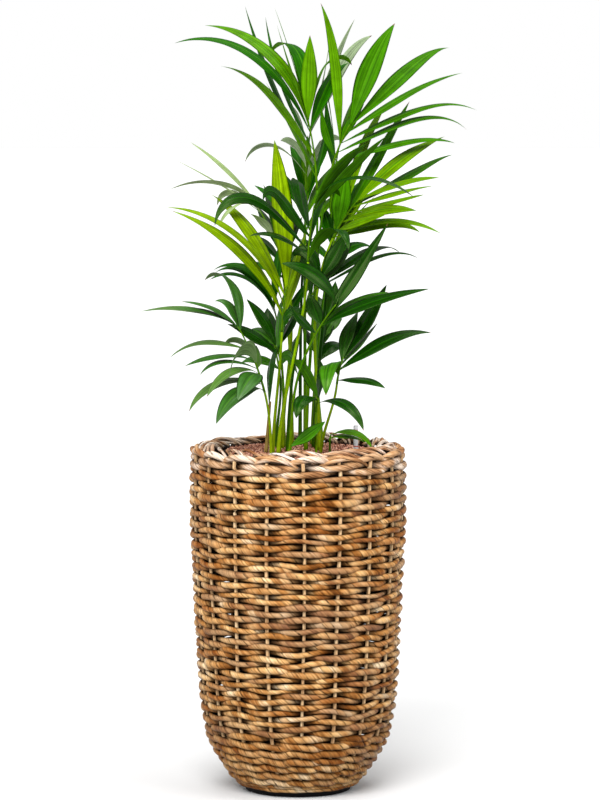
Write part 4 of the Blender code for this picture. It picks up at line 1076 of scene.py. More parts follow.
@dataclass
class Basket:
    """The woven wall: rows of rope that pass in front of and behind the upright stakes."""

    ropes: RopeMaker
    foot: float = 0.008
    top: float = 0.6352
    foot_radius: float = 0.1165
    skirt: float = 0.1820
    flare: float = 0.047
    belly: float = 0.2060
    tuck: float = 0.072
    shoulder: float = 0.595
    shoulder_depth: float = 0.0015
    stakes: int = 18
    stake_turn: float = -87.0
    stake_radius: float = 0.0033
    stake_out: float = 0.0026
    weave_top: float = 0.6385
    pale_rows: int = 2
    weave_foot: float = 0.1150
    rows: int = 50
    row_steps: int = 16
    sway: float = 0.0060
    front_bias: float = 0.42
    front_radius: tuple[Pair, ...] = ((0.0053, 0.0061), (0.0047, 0.0057), (0.0061, 0.0073))
    front_odds: tuple[float, ...] = (0.5, 0.3, 0.2)
    mean_radius: float = 0.0061
    fat_rows: int = 12
    fat_share: float = 1.10
    top_radius: float = 0.0077
    back_radius: float = 0.0054
    twines: int = 6
    twine_pitch: float = 0.0150
    twine_radius: float = 0.0070
    twine_sway: float = 0.0058
    twine_slant: float = 0.0024
    courses: int = 2
    course_radius: float = 0.0052
    course_foot: float = 0.0125
    bands: int = 3
    seed: int = 41
    top_rows: list[Rope] = field(default_factory=list)

    def radius(self, height: np.ndarray) -> np.ndarray:
        """The outer radius of the wall at these heights."""
        low = np.maximum(height - self.foot / 2, 0.0)
        tuck = 1 - np.exp(-((low / self.tuck) ** 1.5))
        body = np.minimum(self.belly, self.skirt + self.flare * height)
        past = np.maximum(0.0, height - self.shoulder) / (self.top - self.shoulder)
        return self.foot_radius + (body - self.foot_radius) * tuck - self.shoulder_depth * past**2

    def core_radius(self, height: np.ndarray) -> np.ndarray:
        """The radius of the stakes' own centre line."""
        return self.radius(height) - self.sway - self.mean_radius

    def turns(self) -> np.ndarray:
        """The angles of a rope's points, from the back of the basket once round it."""
        start = math.radians(self.stake_turn) + math.pi
        return np.linspace(start, start + math.tau, self.stakes * self.row_steps + 1)

    def wave(self, angles: np.ndarray, number: int) -> np.ndarray:
        """1 where a rope lies in front of a stake and -1 where it lies behind one."""
        wave = np.cos(self.stakes / 2 * (angles - math.radians(self.stake_turn)) + math.pi * number)
        return wave + self.front_bias * (1 - wave**2)

    def closed(self, angles: np.ndarray, reach: np.ndarray, height: np.ndarray, radii: np.ndarray,
               outness: np.ndarray | None = None) -> Rope:
        """A rope that goes once round the basket and ends where it begins."""
        points = np.stack((reach * np.cos(angles), reach * np.sin(angles), height), 1)
        points[-1] = points[0]
        radii[-1] = radii[0]
        return Rope(points, radii, outness)

    def rows_of_weave(self, rng: np.random.Generator) -> list[Rope]:
        """The rows of the wall, stacked by their thickness, from the lowest."""
        angles = self.turns()
        thick = np.array([rng.uniform(*self.front_radius[rng.choice(3, p=self.front_odds)])
                          for _ in range(self.rows)])
        thick[-self.fat_rows:] *= self.fat_share
        thick[-1] = self.top_radius
        spaces = 0.55 + 0.45 * thick / thick.mean()
        spaces *= (self.weave_top - self.weave_foot) / spaces.sum()
        middles = self.weave_foot + np.cumsum(spaces) - spaces / 2
        shared = drift(rng, angles, (3, 7, 12))
        rows = []
        for number in range(self.rows):
            own = drift(rng, angles, (2, 5, 9, 13))
            shared = 0.75 * shared + 0.66 * drift(rng, angles, (3, 7, 12))
            wave = self.wave(angles, number)
            height = middles[number] + 0.0024 * shared + 0.0010 * own
            swell = 1 + 0.11 * drift(rng, angles, (4, 7, 11, 16, 23))
            full = np.minimum(1.0, (wave + 1) / 1.7) ** 0.7
            radii = (self.back_radius + (thick[number] - self.back_radius) * full) * swell
            sway = self.sway * wave * (1 + 0.08 * drift(rng, angles, (3, 8)))
            reach = self.core_radius(height) + sway - 0.5 * (thick[number] - self.mean_radius)
            # The wave is also the row's outness, by which its material paints shade behind the stakes.
            rows.append(self.closed(angles, reach, height, radii, wave))
        return rows

    def twined(self, rng: np.random.Generator) -> list[Rope]:
        """The rows of two ropes that wind round each other below the weave."""
        angles = self.turns()
        ropes = []
        for number in range(self.twines):
            middle = self.weave_foot - self.twine_pitch * (number + 0.5)
            wobble = 0.0010 * drift(rng, angles, (3, 8, 13))
            for strand in range(2):
                phase = self.stakes / 2 * (angles - math.radians(self.stake_turn)) + math.pi * strand
                wave = self.wave(angles, strand)
                height = middle + wobble - self.twine_slant * np.sin(phase) - 0.0014 * wave
                swell = 1 + 0.10 * drift(rng, angles, (4, 9, 15))
                radii = self.twine_radius * (0.88 + 0.12 * wave) * swell
                reach = self.core_radius(height) + self.twine_sway * wave + 0.0012
                # The wave is also the rope's outness, by which its material paints shade behind the stakes.
                ropes.append(self.closed(angles, reach, height, radii, wave))
        return ropes

    def low_courses(self, rng: np.random.Generator) -> list[Rope]:
        """The plain thin courses that close the basket at its foot."""
        angles = self.turns()
        first = self.weave_foot - self.twine_pitch * self.twines
        pitch = (first - self.course_foot) / self.courses
        ropes = []
        for number in range(self.courses):
            height = first - pitch * (number + 0.5) + 0.0006 * drift(rng, angles, (3, 7))
            swell = 1 + 0.08 * drift(rng, angles, (5, 11, 17))
            reach = self.radius(height) - self.course_radius - 0.0030
            ropes.append(self.closed(angles, reach, height, self.course_radius * swell,
                                     np.ones(len(angles))))
        return ropes

    def stake(self, number: int, rng: np.random.Generator) -> Rope:
        """One upright stake."""
        heights = np.arange(self.foot + 0.003, self.top, 0.0045)
        angle = math.radians(self.stake_turn) + math.tau * number / self.stakes
        sides = angle + 0.012 * np.sin(heights * 9 + rng.uniform(0, math.tau))
        reach = self.core_radius(heights) + self.stake_out
        radii = np.full(len(heights), self.stake_radius) * rng.uniform(0.92, 1.1)
        radii[0] = radii[-1] = 0.0
        points = np.stack((reach * np.cos(sides), reach * np.sin(sides), heights), 1)
        return Rope(points, radii)

    def build(self) -> None:
        """Makes the rows in bands, and the stakes."""
        rng = np.random.default_rng(self.seed)
        rope = RopeFinish("leaf rope", (
            (0.18, (0.045, 0.011, 0.002)), (0.33, (0.22, 0.070, 0.010)), (0.45, (0.46, 0.200, 0.052)),
            (0.58, (0.78, 0.47, 0.195)), (0.80, (1.00, 0.82, 0.55)),
        )).build()
        cane = RopeFinish("stake cane", (
            (0.3, (0.50, 0.27, 0.125)), (0.5, (0.70, 0.46, 0.24)), (0.7, (0.84, 0.62, 0.37)),
        ), strips=1, strip_pitch=4.0, seam=0.001, tints=(0.1, 0.0), roughness=0.5).build()
        rows = self.rows_of_weave(rng)
        rows, self.top_rows = rows[:-self.pale_rows], rows[-self.pale_rows:]
        share = math.ceil(len(rows) / self.bands)
        for band in range(self.bands):
            piece = self.ropes.make(f"weave_{band + 1}", rows[band * share:(band + 1) * share], rope)
            settle(piece, "woven_rope", *(("basket_wall",) if band == 0 else ()))
        low = self.twined(rng) + self.low_courses(rng)
        settle(self.ropes.make("weave_foot", low, rope), "woven_rope")
        stakes = [self.stake(number, rng) for number in range(self.stakes)]
        settle(self.ropes.make("stakes", stakes, cane, sides=10, groove=0.0), "woven_rope")


@dataclass
class Rim:
    """The border: rope arches over the edge, and thin strands that sweep inwards and down."""

    ropes: RopeMaker
    arches: int = 18
    arch_shift: float = 0.16
    arch_half_turn: float = 16.5
    arch_thick: float = 0.0069
    arch_thin: float = 0.0042
    arch_outer: float = 0.1970
    arch_inner: float = 0.1800
    arch_low: float = 0.6270
    arch_rise: float = 0.0222
    bundle_turn: float = 6.6
    strand_radius: float = 0.0033
    strand_outer: float = 0.1880
    strand_inner: float = 0.1450
    strand_low: float = 0.6380
    strand_rise: float = 0.0165
    strand_end: float = 0.0065
    strand_turn: float = 31.0
    strand_steps: int = 22
    rim_ring: float = 0.1795
    ring_height: float = 0.6330
    stub_top: float = 0.6470
    seed: int = 7

    def path(self, turns: np.ndarray, reach: np.ndarray, height: np.ndarray, radii: np.ndarray,
             outness: np.ndarray | None = None) -> Rope:
        """A rope whose ends are drawn to a point."""
        radii = radii.copy()
        radii[0] = radii[-1] = 0.0
        outness = np.full(len(turns), 2.0) if outness is None else outness
        return Rope(np.stack((reach * np.cos(turns), reach * np.sin(turns), height), 1), radii, outness)

    def arch(self, number: int, basket: Basket, rng: np.random.Generator) -> list[Rope]:
        """A rope, or every fourth time a pair, that arches over the edge and dives inside."""
        share = np.linspace(0, 1, 25)
        middle = math.radians(basket.stake_turn) + math.tau * (number + self.arch_shift) / self.arches
        half = math.radians(self.arch_half_turn * rng.uniform(0.9, 1.15))
        turns = middle + rng.uniform(-0.03, 0.03) + half * (1 - 2 * share)
        rise = self.arch_rise * rng.uniform(0.9, 1.08)
        bow = np.sin(math.pi * share)
        reach = self.arch_inner + (self.arch_outer - self.arch_inner) * bow**0.8
        reach += rng.uniform(-1, 1) * 0.0015
        height = self.arch_low + rise * bow**0.8
        if number % 4 != 1:
            return [self.path(turns, reach, height, self.arch_thick * rng.uniform(0.9, 1.05) *
                              (0.60 + 0.40 * bow**0.7))]
        pair = []
        for side in (-1, 1):
            thick = self.arch_thin * rng.uniform(0.9, 1.1) * (0.75 + 0.25 * bow)
            pair.append(self.path(turns + side * 0.03, reach + side * self.arch_thin * 0.95,
                                  height - side * 0.0015, thick))
        return pair

    def strand(self, start: float, lift: float, rng: np.random.Generator) -> Rope:
        """A thin strand from under an arch, over the border and down to the liner."""
        share = np.linspace(0, 1, self.strand_steps + 1)
        turns = start - math.radians(self.strand_turn * rng.uniform(0.9, 1.1)) * share
        inner = self.strand_inner + rng.uniform(-0.002, 0.003)
        reach = self.strand_outer + (inner - self.strand_outer) * share**1.15
        hump = np.sin(math.pi * np.minimum(1.0, share**0.85)) ** 0.8
        height = self.strand_low + (self.strand_rise + lift) * hump + self.strand_end * share
        height += 0.0016 * np.sin(8 * share + rng.uniform(0, math.tau))
        radii = self.strand_radius * rng.uniform(0.82, 1.20) * (1 - 0.15 * share)
        # The outness paints shade on the strand: more towards its ends than at the top of its hump, and more on
        # its underside.
        return self.path(turns, reach, height, radii, 1.6 + 0.4 * hump**0.7)

    def strands(self, basket: Basket, rng: np.random.Generator) -> list[Rope]:
        """The strands, two or three side by side from each stake."""
        made = []
        for number in range(self.arches):
            stake = basket.stake_turn + 360 * number / self.arches + 14.0
            for place in range(3 if number % 2 == 1 else 2):
                start = math.radians(stake + self.bundle_turn * (place + rng.uniform(-0.12, 0.12)))
                made.append(self.strand(start, rng.uniform(-0.0045, 0.0030), rng))
        return made

    def ring(self, rng: np.random.Generator) -> Rope:
        """A rope that lies all round under the arches and closes the border, painted in shade by its outness of
        -0.8.
        """
        angles = np.linspace(0, math.tau, 217)
        reach = self.rim_ring + 0.001 * drift(rng, angles, (5, 9))
        height = self.ring_height + 0.001 * drift(rng, angles, (4, 7))
        points = np.stack((reach * np.cos(angles), reach * np.sin(angles), height), 1)
        points[-1] = points[0]
        return Rope(points, np.full(217, 0.0095), np.full(217, -0.8))

    def stub(self, number: int, basket: Basket, rng: np.random.Generator) -> Rope:
        """The cut end of a stake, which stands up between the arches."""
        share = np.linspace(0, 1, 9)
        angle = math.radians(basket.stake_turn) + math.tau * number / basket.stakes
        base = float(basket.core_radius(np.array([basket.top]))[0]) + basket.stake_out
        reach = np.full(len(share), base + 0.0015)
        turns = angle + rng.uniform(-0.008, 0.008) * share
        height = 0.626 + (self.stub_top + rng.uniform(-0.004, 0.002) - 0.626) * share
        return self.path(turns, reach, height, np.full(9, basket.stake_radius * 1.05), np.full(9, 3.0))

    def build(self, basket: Basket) -> None:
        """Makes the border's kinds of piece."""
        rng = np.random.default_rng(self.seed)
        thick = RopeFinish("border rope", (
            (0.22, (0.12, 0.045, 0.016)), (0.38, (0.38, 0.18, 0.075)), (0.50, (0.62, 0.36, 0.175)),
            (0.62, (0.92, 0.75, 0.60)),
        ), strip_pitch=0.042, grey=(0.42, 0.28, 0.19), tints=(0.5, 0.2)).build()
        thin = RopeFinish("border strand", (
            (0.24, (0.10, 0.036, 0.014)), (0.38, (0.36, 0.165, 0.075)), (0.48, (0.62, 0.39, 0.23)),
            (0.60, (0.97, 0.84, 0.73)),
        ), strips=1, strip_pitch=0.09, seam=0.12, grey=(0.56, 0.42, 0.33), tints=(0.5, 0.2),
            roughness=0.5).build()
        cane = bpy.data.materials["stake cane"]
        arches = [rope for number in range(self.arches) for rope in self.arch(number, basket, rng)]
        piece = self.ropes.make("border_ropes", [self.ring(rng), *arches], thick, sides=14, pitch=0.042)
        settle(piece, "rim_rope", "basket_rim")
        settle(self.ropes.make("weave_top", basket.top_rows, thick, pitch=0.042), "woven_rope")
        settle(self.ropes.make("border_strands", self.strands(basket, rng), thin, sides=10, strips=1,
                               pitch=0.09, groove=0.06), "plaited_strands", "rim_plait")
        stubs = [self.stub(number, basket, rng) for number in range(basket.stakes)]
        settle(self.ropes.make("stake_ends", stubs, cane, sides=10, groove=0.0), "rim_rope")


@dataclass
class Filling:
    """The black liner, the clay granules and the water gauge."""

    radius: float = 0.1345
    spacing: float = 0.0041
    grain: float = 0.0026
    rings: int = 10
    segments: int = 48
    low_mark: Pair = (SOIL_HEIGHT + 0.0095, SOIL_HEIGHT + 0.0115)
    high_mark: Pair = (SOIL_HEIGHT + 0.0405, SOIL_HEIGHT + 0.0420)
    seed: int = 5

    def build_tree(self) -> bpy.types.NodeTree:
        """Builds the tree that scatters granules on a surface."""
        made = NodeTree("clay granules", {
            "Spacing": "NodeSocketFloat",
            "Grain": "NodeSocketFloat",
            "Seed": "NodeSocketInt",
            "Finish": "NodeSocketMaterial",
        })
        source = made.source
        points = made.node("GeometryNodeDistributePointsOnFaces", {
            "Mesh": source["Geometry"], "Distance Min": source["Spacing"], "Density Max": 60000.0,
            "Seed": source["Seed"],
        }, distribute_method="POISSON").outputs[0]
        ball = made.node("GeometryNodeMeshUVSphere", {
            "Radius": source["Grain"], "Segments": 8, "Rings": 5,
        }).outputs[0]
        turn = made.node("FunctionNodeRandomValue", {"Min": (0.0, 0.0, 0.0), "Max": (math.tau,) * 3},
                         data_type="FLOAT_VECTOR").outputs[0]
        scale = made.node("FunctionNodeRandomValue", {"Min": (0.65, 0.65, 0.6), "Max": (1.15, 1.15, 1.1)},
                          data_type="FLOAT_VECTOR").outputs[0]
        turn = made.node("FunctionNodeEulerToRotation", {0: turn}).outputs[0]
        grains = made.node("GeometryNodeInstanceOnPoints", {
            "Points": points, "Instance": ball, "Rotation": turn, "Scale": scale,
        }).outputs[0]
        real = made.node("GeometryNodeRealizeInstances", {"Geometry": grains}).outputs[0]
        noise = made.node("ShaderNodeTexNoise", {"Scale": 260.0, "Detail": 1.0}).outputs["Color"]
        offset = made.vector("SUBTRACT", {0: noise, 1: (0.5, 0.5, 0.5)})
        offset = made.vector("SCALE", {0: offset, "Scale": 0.0022})
        rough = made.node("GeometryNodeSetPosition", {"Geometry": real, "Offset": offset}).outputs[0]
        made.end(rough, source["Finish"])
        return made.tree

    def bed(self) -> bpy.types.Mesh:
        """The disc that the granules lie on."""
        points, faces = [(0.0, 0.0, SOIL_HEIGHT)], []
        for ring in range(1, self.rings + 1):
            reach = self.radius * ring / self.rings
            for step in range(self.segments):
                angle = math.tau * step / self.segments
                points.append((reach * math.cos(angle), reach * math.sin(angle), SOIL_HEIGHT))
        for step in range(self.segments):
            beside = (step + 1) % self.segments
            faces.append((0, 1 + step, 1 + beside))
            for ring in range(1, self.rings):
                low, high = 1 + (ring - 1) * self.segments, 1 + ring * self.segments
                faces.append((low + step, high + step, high + beside, low + beside))
        mesh = bpy.data.meshes.new("bed")
        mesh.from_pydata(points, [], faces)
        return mesh

    def build(self, nodes: dict[str, bpy.types.Object]) -> None:
        """Scatters the granules and dresses the nodes that stay."""
        clay = GranuleFinish().build()
        grains = run_nodes("granules", self.bed(), self.build_tree(), {
            "Spacing": self.spacing, "Grain": self.grain, "Seed": self.seed, "Finish": clay,
        })
        settle(grains, "clay_granules")
        black = PlasticFinish("black liner", (0.004, 0.004, 0.005), 0.4, gloss=0.15).build()
        marks = (self.low_mark, self.high_mark)
        clear = PlasticFinish("clear gauge", (0.80, 0.82, 0.84), 0.12, 0.7, marks).build()
        foot = PlasticFinish("clear gauge foot", (0.80, 0.82, 0.84), 0.12, 0.75).build()
        # The fill under the granules is painted near black: it stands for the shade between them.
        bed = PlasticFinish("shade between granules", (0.030, 0.012, 0.008), 0.9).build()
        for name, finish in (("granule_fill", bed), ("planter_liner", black),
                             ("gauge_foot", foot), ("gauge_tube", clear)):
            nodes[name].data.materials.clear()
            nodes[name].data.materials.append(finish)


@dataclass
class LeafShape:
    """How a leaflet's section is shaped and how finely it is divided."""

    stations: int = 34
    lines: tuple[float, ...] = (-1.0, -0.80, -0.56, -0.31, -0.07, 0.0, 0.07, 0.31, 0.56, 0.80, 1.0)
    fold: float = 0.20
    arch: float = 0.10
    ripple: float = 0.030
    ripples: float = 3.0
    thickness: float = 0.0005
    midrib: float = 0.0007
    twist: float = 16.0
    dry_share: float = 0.35

    def ring(self, blade: Blade, line: np.ndarray, share: float, rng_values: np.ndarray) -> np.ndarray:
        """The corners of one section: the upper face from edge to edge, then the lower one back.

        Args:
            blade: the leaflet.
            line: its midrib.
            share: the share of the length.
            rng_values: four numbers from -1 to 1 that set this leaflet's habit.

        Returns:
            The corners, twice the number of the lines' spaces.
        """
        habit, edge_phase, ripple_share, lean = rng_values
        middle = point_at(line, share)
        across, out = blade.across(share, self.twist * lean * share**2)
        half = max(blade.width / 2 * blade.breadth(share), blade.tip_half * (1 - 0.9 * share))
        fold = self.fold * (1 + 0.4 * habit) + 0.35 * max(0.0, 1 - share / 0.12)
        upper = []
        for place in self.lines:
            side = abs(place)
            rise = -fold * side + self.arch * side * side
            rise += self.ripple * (1 + 0.6 * ripple_share) * math.sin(math.pi * self.ripples * side) * side
            wave = 0.035 * math.sin(9.0 * share + 3.0 * edge_phase + (2.0 if place > 0 else 0.0)) * side**2
            narrow = math.cos(math.atan(fold))
            upper.append(middle + across * half * place * narrow + out * half * (rise + wave))
        lower = []
        count = len(self.lines) - 1
        for number in range(count - 1, 0, -1):
            depth = self.thickness + self.midrib * (self.lines[number] == 0.0) * (1 - 0.8 * share)
            lower.append(upper[number] - out * depth * min(1.0, half / 0.004))
        return np.array(upper + lower)

    def add(self, blade: Blade, second: float, rng: np.random.Generator, mesh: "MeshStack") -> None:
        """Adds one leaflet to a stack of meshes.

        Args:
            blade: the leaflet.
            second: how often a leaflet has the palette's second colour, from 0 to 1.
            rng: the random generator.
            mesh: the stack.
        """
        values = rng.uniform(-1, 1, 4)
        top = Face.TOP_B if rng.uniform() < second else Face.TOP_A
        dry_from = 1 - rng.uniform(0.01, 0.035) if rng.uniform() < self.dry_share else 2.0
        line = blade.line()
        rings = [self.ring(blade, line, step / self.stations, values) for step in range(self.stations + 1)]
        spaces = len(self.lines) - 1
        around = 2 * spaces
        start = mesh.add_points(np.concatenate(rings))
        for station in range(self.stations):
            share = (station + 0.5) / self.stations
            for corner in range(around):
                low = start + station * around + corner
                beside = start + station * around + (corner + 1) % around
                if share > dry_from:
                    face = Face.DRY
                elif corner < spaces:
                    near = max(abs(self.lines[corner]), abs(self.lines[corner + 1])) < 0.1
                    face = Face.VEIN if near else top
                else:
                    face = Face.UNDER
                near_u, far_u = self.across_place(corner), self.across_place(corner + 1)
                mesh.add_face((low, beside, beside + around, low + around), face,
                              ((near_u, share), (far_u, share), (far_u, share), (near_u, share)))
        mesh.add_face(tuple(start + corner for corner in reversed(range(around))), Face.UNDER,
                      ((0.5, 0.0),) * around)
        last = start + self.stations * around
        mesh.add_face(tuple(last + corner for corner in range(around)), Face.DRY, ((0.5, 1.0),) * around)

    def across_place(self, corner: int) -> float:
        """The place of a corner across the leaflet, from 0 to 1."""
        spaces = len(self.lines) - 1
        number = corner if corner <= spaces else 2 * spaces - corner
        return (self.lines[number] + 1) / 2


class MeshStack:
    """Points and faces of many small shapes that end up in one mesh."""

    def __init__(self) -> None:
        """Starts empty."""
        self.points: list[np.ndarray] = []
        self.count = 0
        self.faces: list[tuple[int, ...]] = []
        self.kinds: list[int] = []
        self.places: list[tuple[float, float]] = []

    def add_points(self, points: np.ndarray) -> int:
        """Adds points and gives the number of the first."""
        first = self.count
        self.points.append(points)
        self.count += len(points)
        return first

    def add_face(self, corners: tuple[int, ...], face: Face, places: tuple[tuple[float, float], ...]) -> None:
        """Adds a face with its finish and its place on the map."""
        self.faces.append(corners)
        self.kinds.append(face.value)
        self.places.extend(places)

    def build(self, name: str, finishes: list[bpy.types.Material]) -> bpy.types.Object:
        """Makes the piece."""
        mesh = bpy.data.meshes.new(name)
        mesh.from_pydata(np.concatenate(self.points).tolist(), [], self.faces)
        for finish in finishes:
            mesh.materials.append(finish)
        mesh.polygons.foreach_set("material_index", self.kinds)
        layer = mesh.uv_layers.new(name="UVMap")
        layer.data.foreach_set("uv", np.array(self.places, np.float32).ravel())
        mesh.shade_smooth()
        return add_piece(name, mesh)


@dataclass(frozen=True)
class Palette:
    """The colours of one tone of frond."""

    top_a: Colour
    top_b: Colour
    # The underside's own paler green, made lighter still as painted light for the light that shines through the
    # leaf.
    under: Colour
    vein: Colour
    roughness: float = 0.42
    gloss: float = 0.25
    gloss_tint: Colour = (0.45, 1.0, 0.15)


PALETTES = {
    Tone.BRIGHT: Palette((0.038, 0.162, 0.0002), (0.115, 0.250, 0.0004), (0.240, 0.50, 0.003),
                         (0.052, 0.190, 0.001), 0.40, 0.07),
    Tone.YELLOW: Palette((0.195, 0.330, 0.0004), (0.170, 0.298, 0.0003), (0.33, 0.52, 0.004),
                         (0.27, 0.44, 0.001), 0.42, 0.08),
    Tone.MID: Palette((0.013, 0.108, 0.0002), (0.076, 0.228, 0.0004), (0.120, 0.340, 0.002),
                      (0.040, 0.185, 0.001), 0.34, 0.11, (0.45, 1.0, 0.10)),
    Tone.DEEP: Palette((0.004, 0.043, 0.0002), (0.036, 0.162, 0.0010), (0.040, 0.150, 0.001),
                       (0.010, 0.072, 0.0005), 0.27, 0.50, (0.66, 1.0, 0.30)),
    Tone.GREY: Palette((0.340, 0.455, 0.185), (0.240, 0.370, 0.085), (0.40, 0.52, 0.25),
                       (0.29, 0.43, 0.12), 0.45, 0.30, (1.0, 1.0, 0.8)),
    Tone.PALE: Palette((0.24, 0.39, 0.11), (0.18, 0.34, 0.07), (0.38, 0.50, 0.28), (0.26, 0.42, 0.12),
                       0.45, 0.30, (1.0, 1.0, 1.0)),
    Tone.LIGHT: Palette((0.028, 0.118, 0.008), (0.078, 0.178, 0.024), (0.17, 0.28, 0.10),
                        (0.052, 0.158, 0.014), 0.34, 0.60, (0.90, 1.0, 0.80)),
}


@dataclass
class Palm:
    """The palm: relief stalks, ribs and finely cut leaflets."""

    ropes: RopeMaker
    growth: Growth
    shape: LeafShape
    stalk_steps: int = 44
    rib_steps: int = 14
    stub_foot: Pair = (-0.0600, -0.0480)
    stub_lean: Point = (0.008, -0.004, 0.098)
    slimness: float = 0.87
    seconds: dict[str, float] = field(default_factory=lambda: {
        "right_high": 0.2, "right_mid": 0.85, "top_left": 0.65, "low_right": 0.75,
        "front_high": 0.12, "front_mid": 0.15,
    })
    other_seconds: float = 0.36
    seed: int = 23

    def stalks(self) -> None:
        """Makes the stalks, in three finishes, and the cut stub."""
        finishes = (
            StalkFinish("green stalk", (0.060, 0.210, 0.0006), (0.17, 0.32, 0.002)).build(),
            StalkFinish("yellow stalk", (0.23, 0.42, 0.001), (0.28, 0.40, 0.004)).build(),
            StalkFinish("dark stalk", (0.006, 0.055, 0.0004), (0.04, 0.12, 0.001)).build(),
        )
        kinds = {"front_high": 1, "bright_left": 1, "top_left": 0, "right_high": 0, "right_mid": 1}
        groups: list[list[Rope]] = [[], [], []]
        names: list[list[str]] = [[], [], []]
        for number, frond in enumerate(FRONDS):
            line = self.growth.stalk_line(frond, self.stalk_steps)
            radii = self.slimness * np.array(self.growth.stalk_radii(line))
            line = np.concatenate((line[:1], line, line[-1:]))
            radii = np.concatenate(([0.0], radii, [0.0]))
            kind = kinds.get(frond.name, (0, 2, 0, 1)[number % 4])
            groups[kind].append(Rope(line, radii))
            names[kind].append("stalk_" + frond.name)
        for kind, word in enumerate(("green", "yellow", "dark")):
            piece = self.ropes.make("stalks_" + word, groups[kind], finishes[kind], sides=18, strips=6,
                                    pitch=9.0, groove=0.10)
            settle(piece, "green_stalk", *names[kind])
        share = np.linspace(0, 1, 12)[:, None]
        foot = np.array((*self.stub_foot, SOIL_HEIGHT + GAP))
        line = foot + np.array(self.stub_lean) * share
        radii = 0.0038 - 0.0014 * share[:, 0]
        line = np.concatenate((line[:1], line, line[-1:]))
        radii = np.concatenate(([0.0], radii, [0.0]))
        dry = DryFinish("dry stump", (0.13, 0.070, 0.010), (0.50, 0.33, 0.07)).build()
        piece = self.ropes.make("stump", [Rope(line, radii)], dry, sides=14, strips=5, pitch=3.0, groove=0.22)
        settle(piece, "dry_stalk", "cut_stub")

    def ribs(self) -> None:
        """Makes the ribs that carry the leaflets."""
        finish = StalkFinish("green rib", (0.085, 0.22, 0.001), (0.085, 0.22, 0.001)).build()
        ribs = []
        for frond in FRONDS:
            line = self.growth.rib_line(frond, self.rib_steps)
            radii = np.linspace(self.growth.stalk_tip, self.growth.rib_tip, len(line))
            line = np.concatenate((line[:1], line, line[-1:]))
            ribs.append(Rope(line, np.concatenate(([0.0], radii, [0.0]))))
        settle(self.ropes.make("ribs", ribs, finish, sides=10, strips=3, pitch=5.0, groove=0.12),
               "green_stalk")

    def leaflets(self) -> None:
        """Makes the leaflets, one piece for each tone."""
        rng = np.random.default_rng(self.seed)
        grown = self.growth.grow()
        dry = DryFinish("dry tip").build()
        stacks = {tone: MeshStack() for tone in Tone}
        names: dict[Tone, list[str]] = {tone: [] for tone in Tone}
        for frond in FRONDS:
            tone = Tone(frond.tone)
            names[tone].append("frond_" + frond.name)
            second = self.seconds.get(frond.name, self.other_seconds)
            for blade in grown[frond.name]:
                self.shape.add(blade, second, rng, stacks[tone])
        for tone, stack in stacks.items():
            colours = PALETTES[tone]
            word = tone.value
            finishes = [
                LeafFinish(word + " leaf", colours.top_a, colours.roughness, colours.gloss,
                           colours.gloss_tint).build(),
                LeafFinish(word + " leaf second", colours.top_b, colours.roughness, colours.gloss,
                           colours.gloss_tint).build(),
                # The underside's colour holds painted light for the light that shines through the leaf.
                LeafFinish(word + " leaf underside", colours.under, 0.55, 0.12, colours.gloss_tint).build(),
                LeafFinish(word + " leaf midrib", colours.vein, 0.45, 0.12, colours.gloss_tint).build(),
                dry,
            ]
            settle(stack.build("leaflets_" + word, finishes), "leaf_" + word, *names[tone])

    def build(self) -> None:
        """Makes the whole palm."""
        self.stalks()
        self.ribs()
        self.leaflets()


@dataclass(frozen=True)
class SoftLight:
    """A distant soft light: the way that it comes from, its strength and its spread."""

    name: str
    way: Point
    strength: float
    spread: float


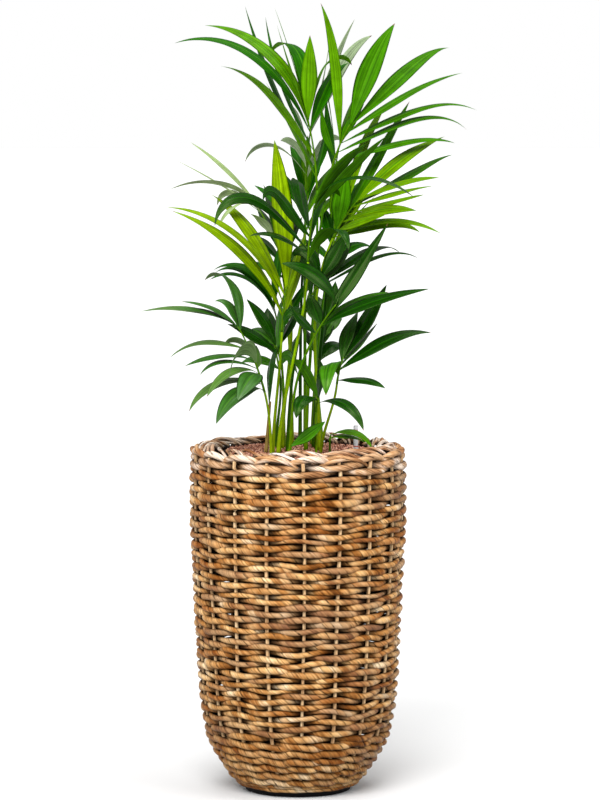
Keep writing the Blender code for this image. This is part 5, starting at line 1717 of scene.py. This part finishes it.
@dataclass
class Studio:
    """The pale floor, the soft lights and the camera."""

    distance: float = 8.0
    side: float = 0.004
    camera_height: float = 1.537
    aim_height: float = 0.741
    lens: float = 191.7
    floor_size: float = 60.0
    floor_drop: float = 0.0004
    floor_shade: float = 0.75
    floor_bounce: float = 0.40
    backdrop: float = 1.0
    ambient: float = 0.28
    lights: tuple[SoftLight, ...] = (
        SoftLight("key", (-0.16, -0.90, 0.84), 3.05, 34.0),
        SoftLight("right fill", (0.90, -0.55, 0.60), 1.15, 40.0),
        SoftLight("left fill", (-0.90, -0.55, 0.60), 0.95, 40.0),
        SoftLight("top", (0.10, 0.05, 1.0), 1.3, 45.0),
    )

    def floor(self) -> None:
        """A large plain floor, darker in the light it sends back than to the eye."""
        half = self.floor_size / 2
        mesh = bpy.data.meshes.new("floor")
        mesh.from_pydata([(-half, -half, -self.floor_drop), (half, -half, -self.floor_drop),
                          (half, half, -self.floor_drop), (-half, half, -self.floor_drop)], [], [(0, 1, 2, 3)])
        sheet = ShaderSheet("floor paint")
        seen = sheet.node("ShaderNodeLightPath").outputs["Is Camera Ray"]
        colour = sheet.mix(seen, (self.floor_bounce,) * 3, (self.floor_shade,) * 3)
        mesh.materials.append(sheet.finish(colour, 0.8, Specular_IOR_Level=0.1))
        add_piece("floor", mesh)

    def light(self, light: SoftLight) -> None:
        """One distant soft light."""
        data = bpy.data.lights.new(light.name, "SUN")
        data.energy = light.strength
        data.angle = math.radians(light.spread)
        lamp = bpy.data.objects.new(light.name, data)
        bpy.context.scene.collection.objects.link(lamp)
        lamp.rotation_euler = (-Vector(light.way)).to_track_quat("-Z", "Y").to_euler()

    def world(self) -> None:
        """A white backdrop that itself gives only a little light."""
        world = bpy.data.worlds.new("studio")
        world.use_nodes = True
        tree = world.node_tree
        background = tree.nodes["Background"]
        background.inputs["Color"].default_value = (1.0, 1.0, 1.0, 1.0)
        seen = tree.nodes.new("ShaderNodeLightPath").outputs["Is Camera Ray"]
        strength = tree.nodes.new("ShaderNodeMapRange")
        strength.inputs["To Min"].default_value = self.ambient
        strength.inputs["To Max"].default_value = self.backdrop
        tree.links.new(seen, strength.inputs["Value"])
        tree.links.new(strength.outputs[0], background.inputs["Strength"])
        bpy.context.scene.world = world

    def build(self) -> None:
        """Makes the floor, the lights, the world and the camera."""
        self.floor()
        for light in self.lights:
            self.light(light)
        self.world()
        scene = bpy.context.scene
        scene.view_settings.view_transform = "Standard"
        data = bpy.data.cameras.new("camera")
        data.lens = self.lens
        data.sensor_width = 36.0
        data.clip_end = 100.0
        camera = bpy.data.objects.new("camera", data)
        scene.collection.objects.link(camera)
        camera.location = (self.side, -self.distance, self.camera_height)
        aim = Vector((self.side, 0.0, self.aim_height))
        camera.rotation_euler = (aim - camera.location).to_track_quat("-Z", "Y").to_euler()
        scene.camera = camera


def corners(box: tuple[Vector, Vector]) -> list[list[float]]:
    """A box as plain lists of numbers."""
    return [list(box[0]), list(box[1])]


def main() -> None:
    """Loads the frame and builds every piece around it."""
    logging.basicConfig(level=logging.INFO, format="%(name)s: %(message)s")
    for old in list(bpy.data.objects):
        bpy.data.objects.remove(old, do_unlink=True)
    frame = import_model()
    ropes = RopeMaker()
    basket = Basket(ropes)
    basket.build()
    Rim(ropes).build(basket)
    Filling().build(frame["nodes"])
    Palm(ropes, Growth(), LeafShape()).build()
    Studio().build()


if __name__ == "__main__":
    main()
